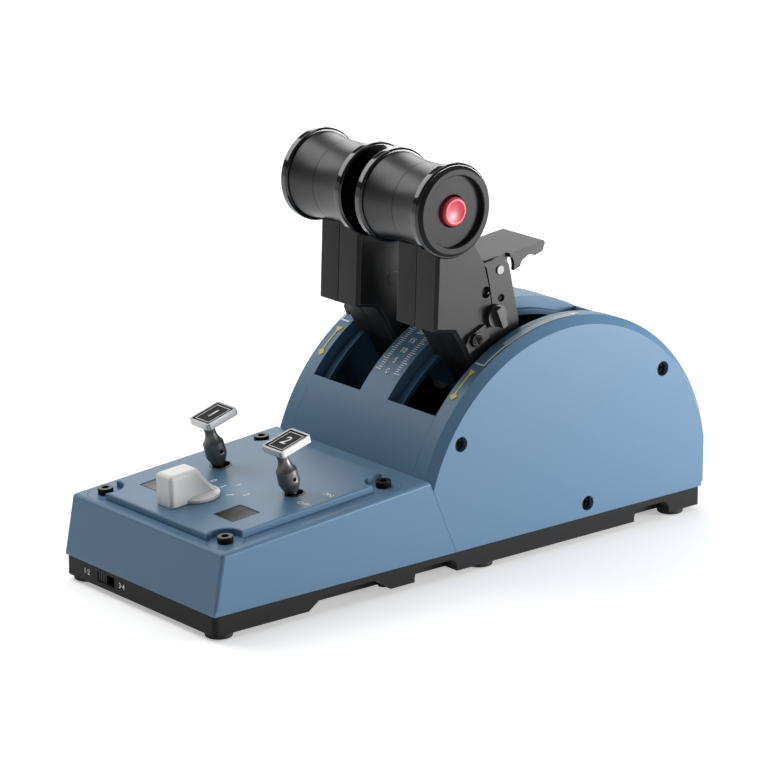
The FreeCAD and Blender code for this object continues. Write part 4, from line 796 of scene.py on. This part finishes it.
def makeFloor():
    material, tree, surface = startMaterial("paleFloor")
    surface.inputs["Base Color"].default_value = (*ground["color"], 1)
    surface.inputs["Roughness"].default_value = ground["rough"]
    surface.inputs["Specular IOR Level"].default_value = 0.0
    # a little lighter where it is seen straight, in a gloss or through glass
    path = addNode(tree, "ShaderNodeLightPath")
    seen = path.outputs["Is Camera Ray"]
    for ray in ("Is Glossy Ray", "Is Transmission Ray"):
        either = addNode(tree, "ShaderNodeMath", operation="MAXIMUM")
        tree.links.new(seen, either.inputs[0])
        tree.links.new(path.outputs[ray], either.inputs[1])
        seen = either.outputs[0]
    lift = addNode(tree, "ShaderNodeMath", operation="MULTIPLY")
    tree.links.new(seen, lift.inputs[0])
    lift.inputs[1].default_value = ground["lift"]
    surface.inputs["Emission Color"].default_value = (1, 1, 1, 1)
    tree.links.new(lift.outputs[0], surface.inputs["Emission Strength"])

    pickNone()
    bpy.ops.mesh.primitive_plane_add(size=ground["size"], location=(0, 0, -ground["drop"]))
    bpy.context.object.name = "floor"
    bpy.context.object.data.materials.append(material)
    pickNone()
    bpy.ops.mesh.primitive_cylinder_add(
        vertices=ground["wallFacets"], radius=ground["wallRadius"], depth=ground["wallHeight"],
        end_fill_type="NOTHING", location=(0, 0, ground["wallMiddle"]))
    bpy.context.object.name = "backdrop"
    bpy.context.object.data.materials.append(material)


skyStrength = 0.12


def makeSky():
    world = bpy.data.worlds.new("sky")
    bpy.context.scene.world = world
    world.use_nodes = True
    background = world.node_tree.nodes["Background"]
    background.inputs["Color"].default_value = (1, 1, 1, 1)
    background.inputs["Strength"].default_value = skyStrength


# where each softbox stands and looks, its width and height, and its power
lamps = {"topLamp": ((-0.15, 0.05, 1.3), (0, 0.03, 0.05), 1.2, 1.2, 7.0),
         "rightLamp": ((0.66, 0.62, 0.26), (0.05, 0.09, 0.06), 0.45, 0.32, 1.5),
         "backLamp": ((-1.3, 1.1, 0.75), (0, 0, 0.06), 1.2, 0.8, 8.0),
         "leftLamp": ((-0.95, -0.4, 1.05), (0, 0, 0.12), 0.9, 1.1, 9.0),
         "glareLamp": ((0.62, 0.60, 0.10), (0.055, 0.09, 0.06), 0.34, 0.14, 6.5)}


def makeLamp(name, place, target, width, height, power):
    light = bpy.data.lights.new(name, "AREA")
    light.shape = "RECTANGLE"
    light.size = width
    light.size_y = height
    light.energy = power
    lamp = bpy.data.objects.new(name, light)
    lamp.location = place
    lamp.visible_camera = False
    lamp.rotation_euler = (Vector(target) - Vector(place)).to_track_quat("-Z", "Y").to_euler()
    bpy.context.scene.collection.objects.link(lamp)


view = {"place": (1.28792, -1.06925, 0.56965), "azimuth": 50.42, "elevation": 16.46,
        "lens": 181.8, "sensor": 36}


def makeCamera():
    camera = bpy.data.cameras.new("camera")
    camera.sensor_width = view["sensor"]
    camera.lens = view["lens"]
    eye = bpy.data.objects.new("camera", camera)
    eye.location = view["place"]
    tilt = math.radians(90 - view["elevation"])
    eye.rotation_euler = Euler((tilt, 0, math.radians(view["azimuth"])))
    bpy.context.scene.collection.objects.link(eye)
    bpy.context.scene.camera = eye


makeFloor()
makeSky()
for name, values in lamps.items():
    makeLamp(name, *values)
makeCamera()
bpy.context.scene.view_settings.view_transform = "Standard"
print("studio lit")

print("scene ready")
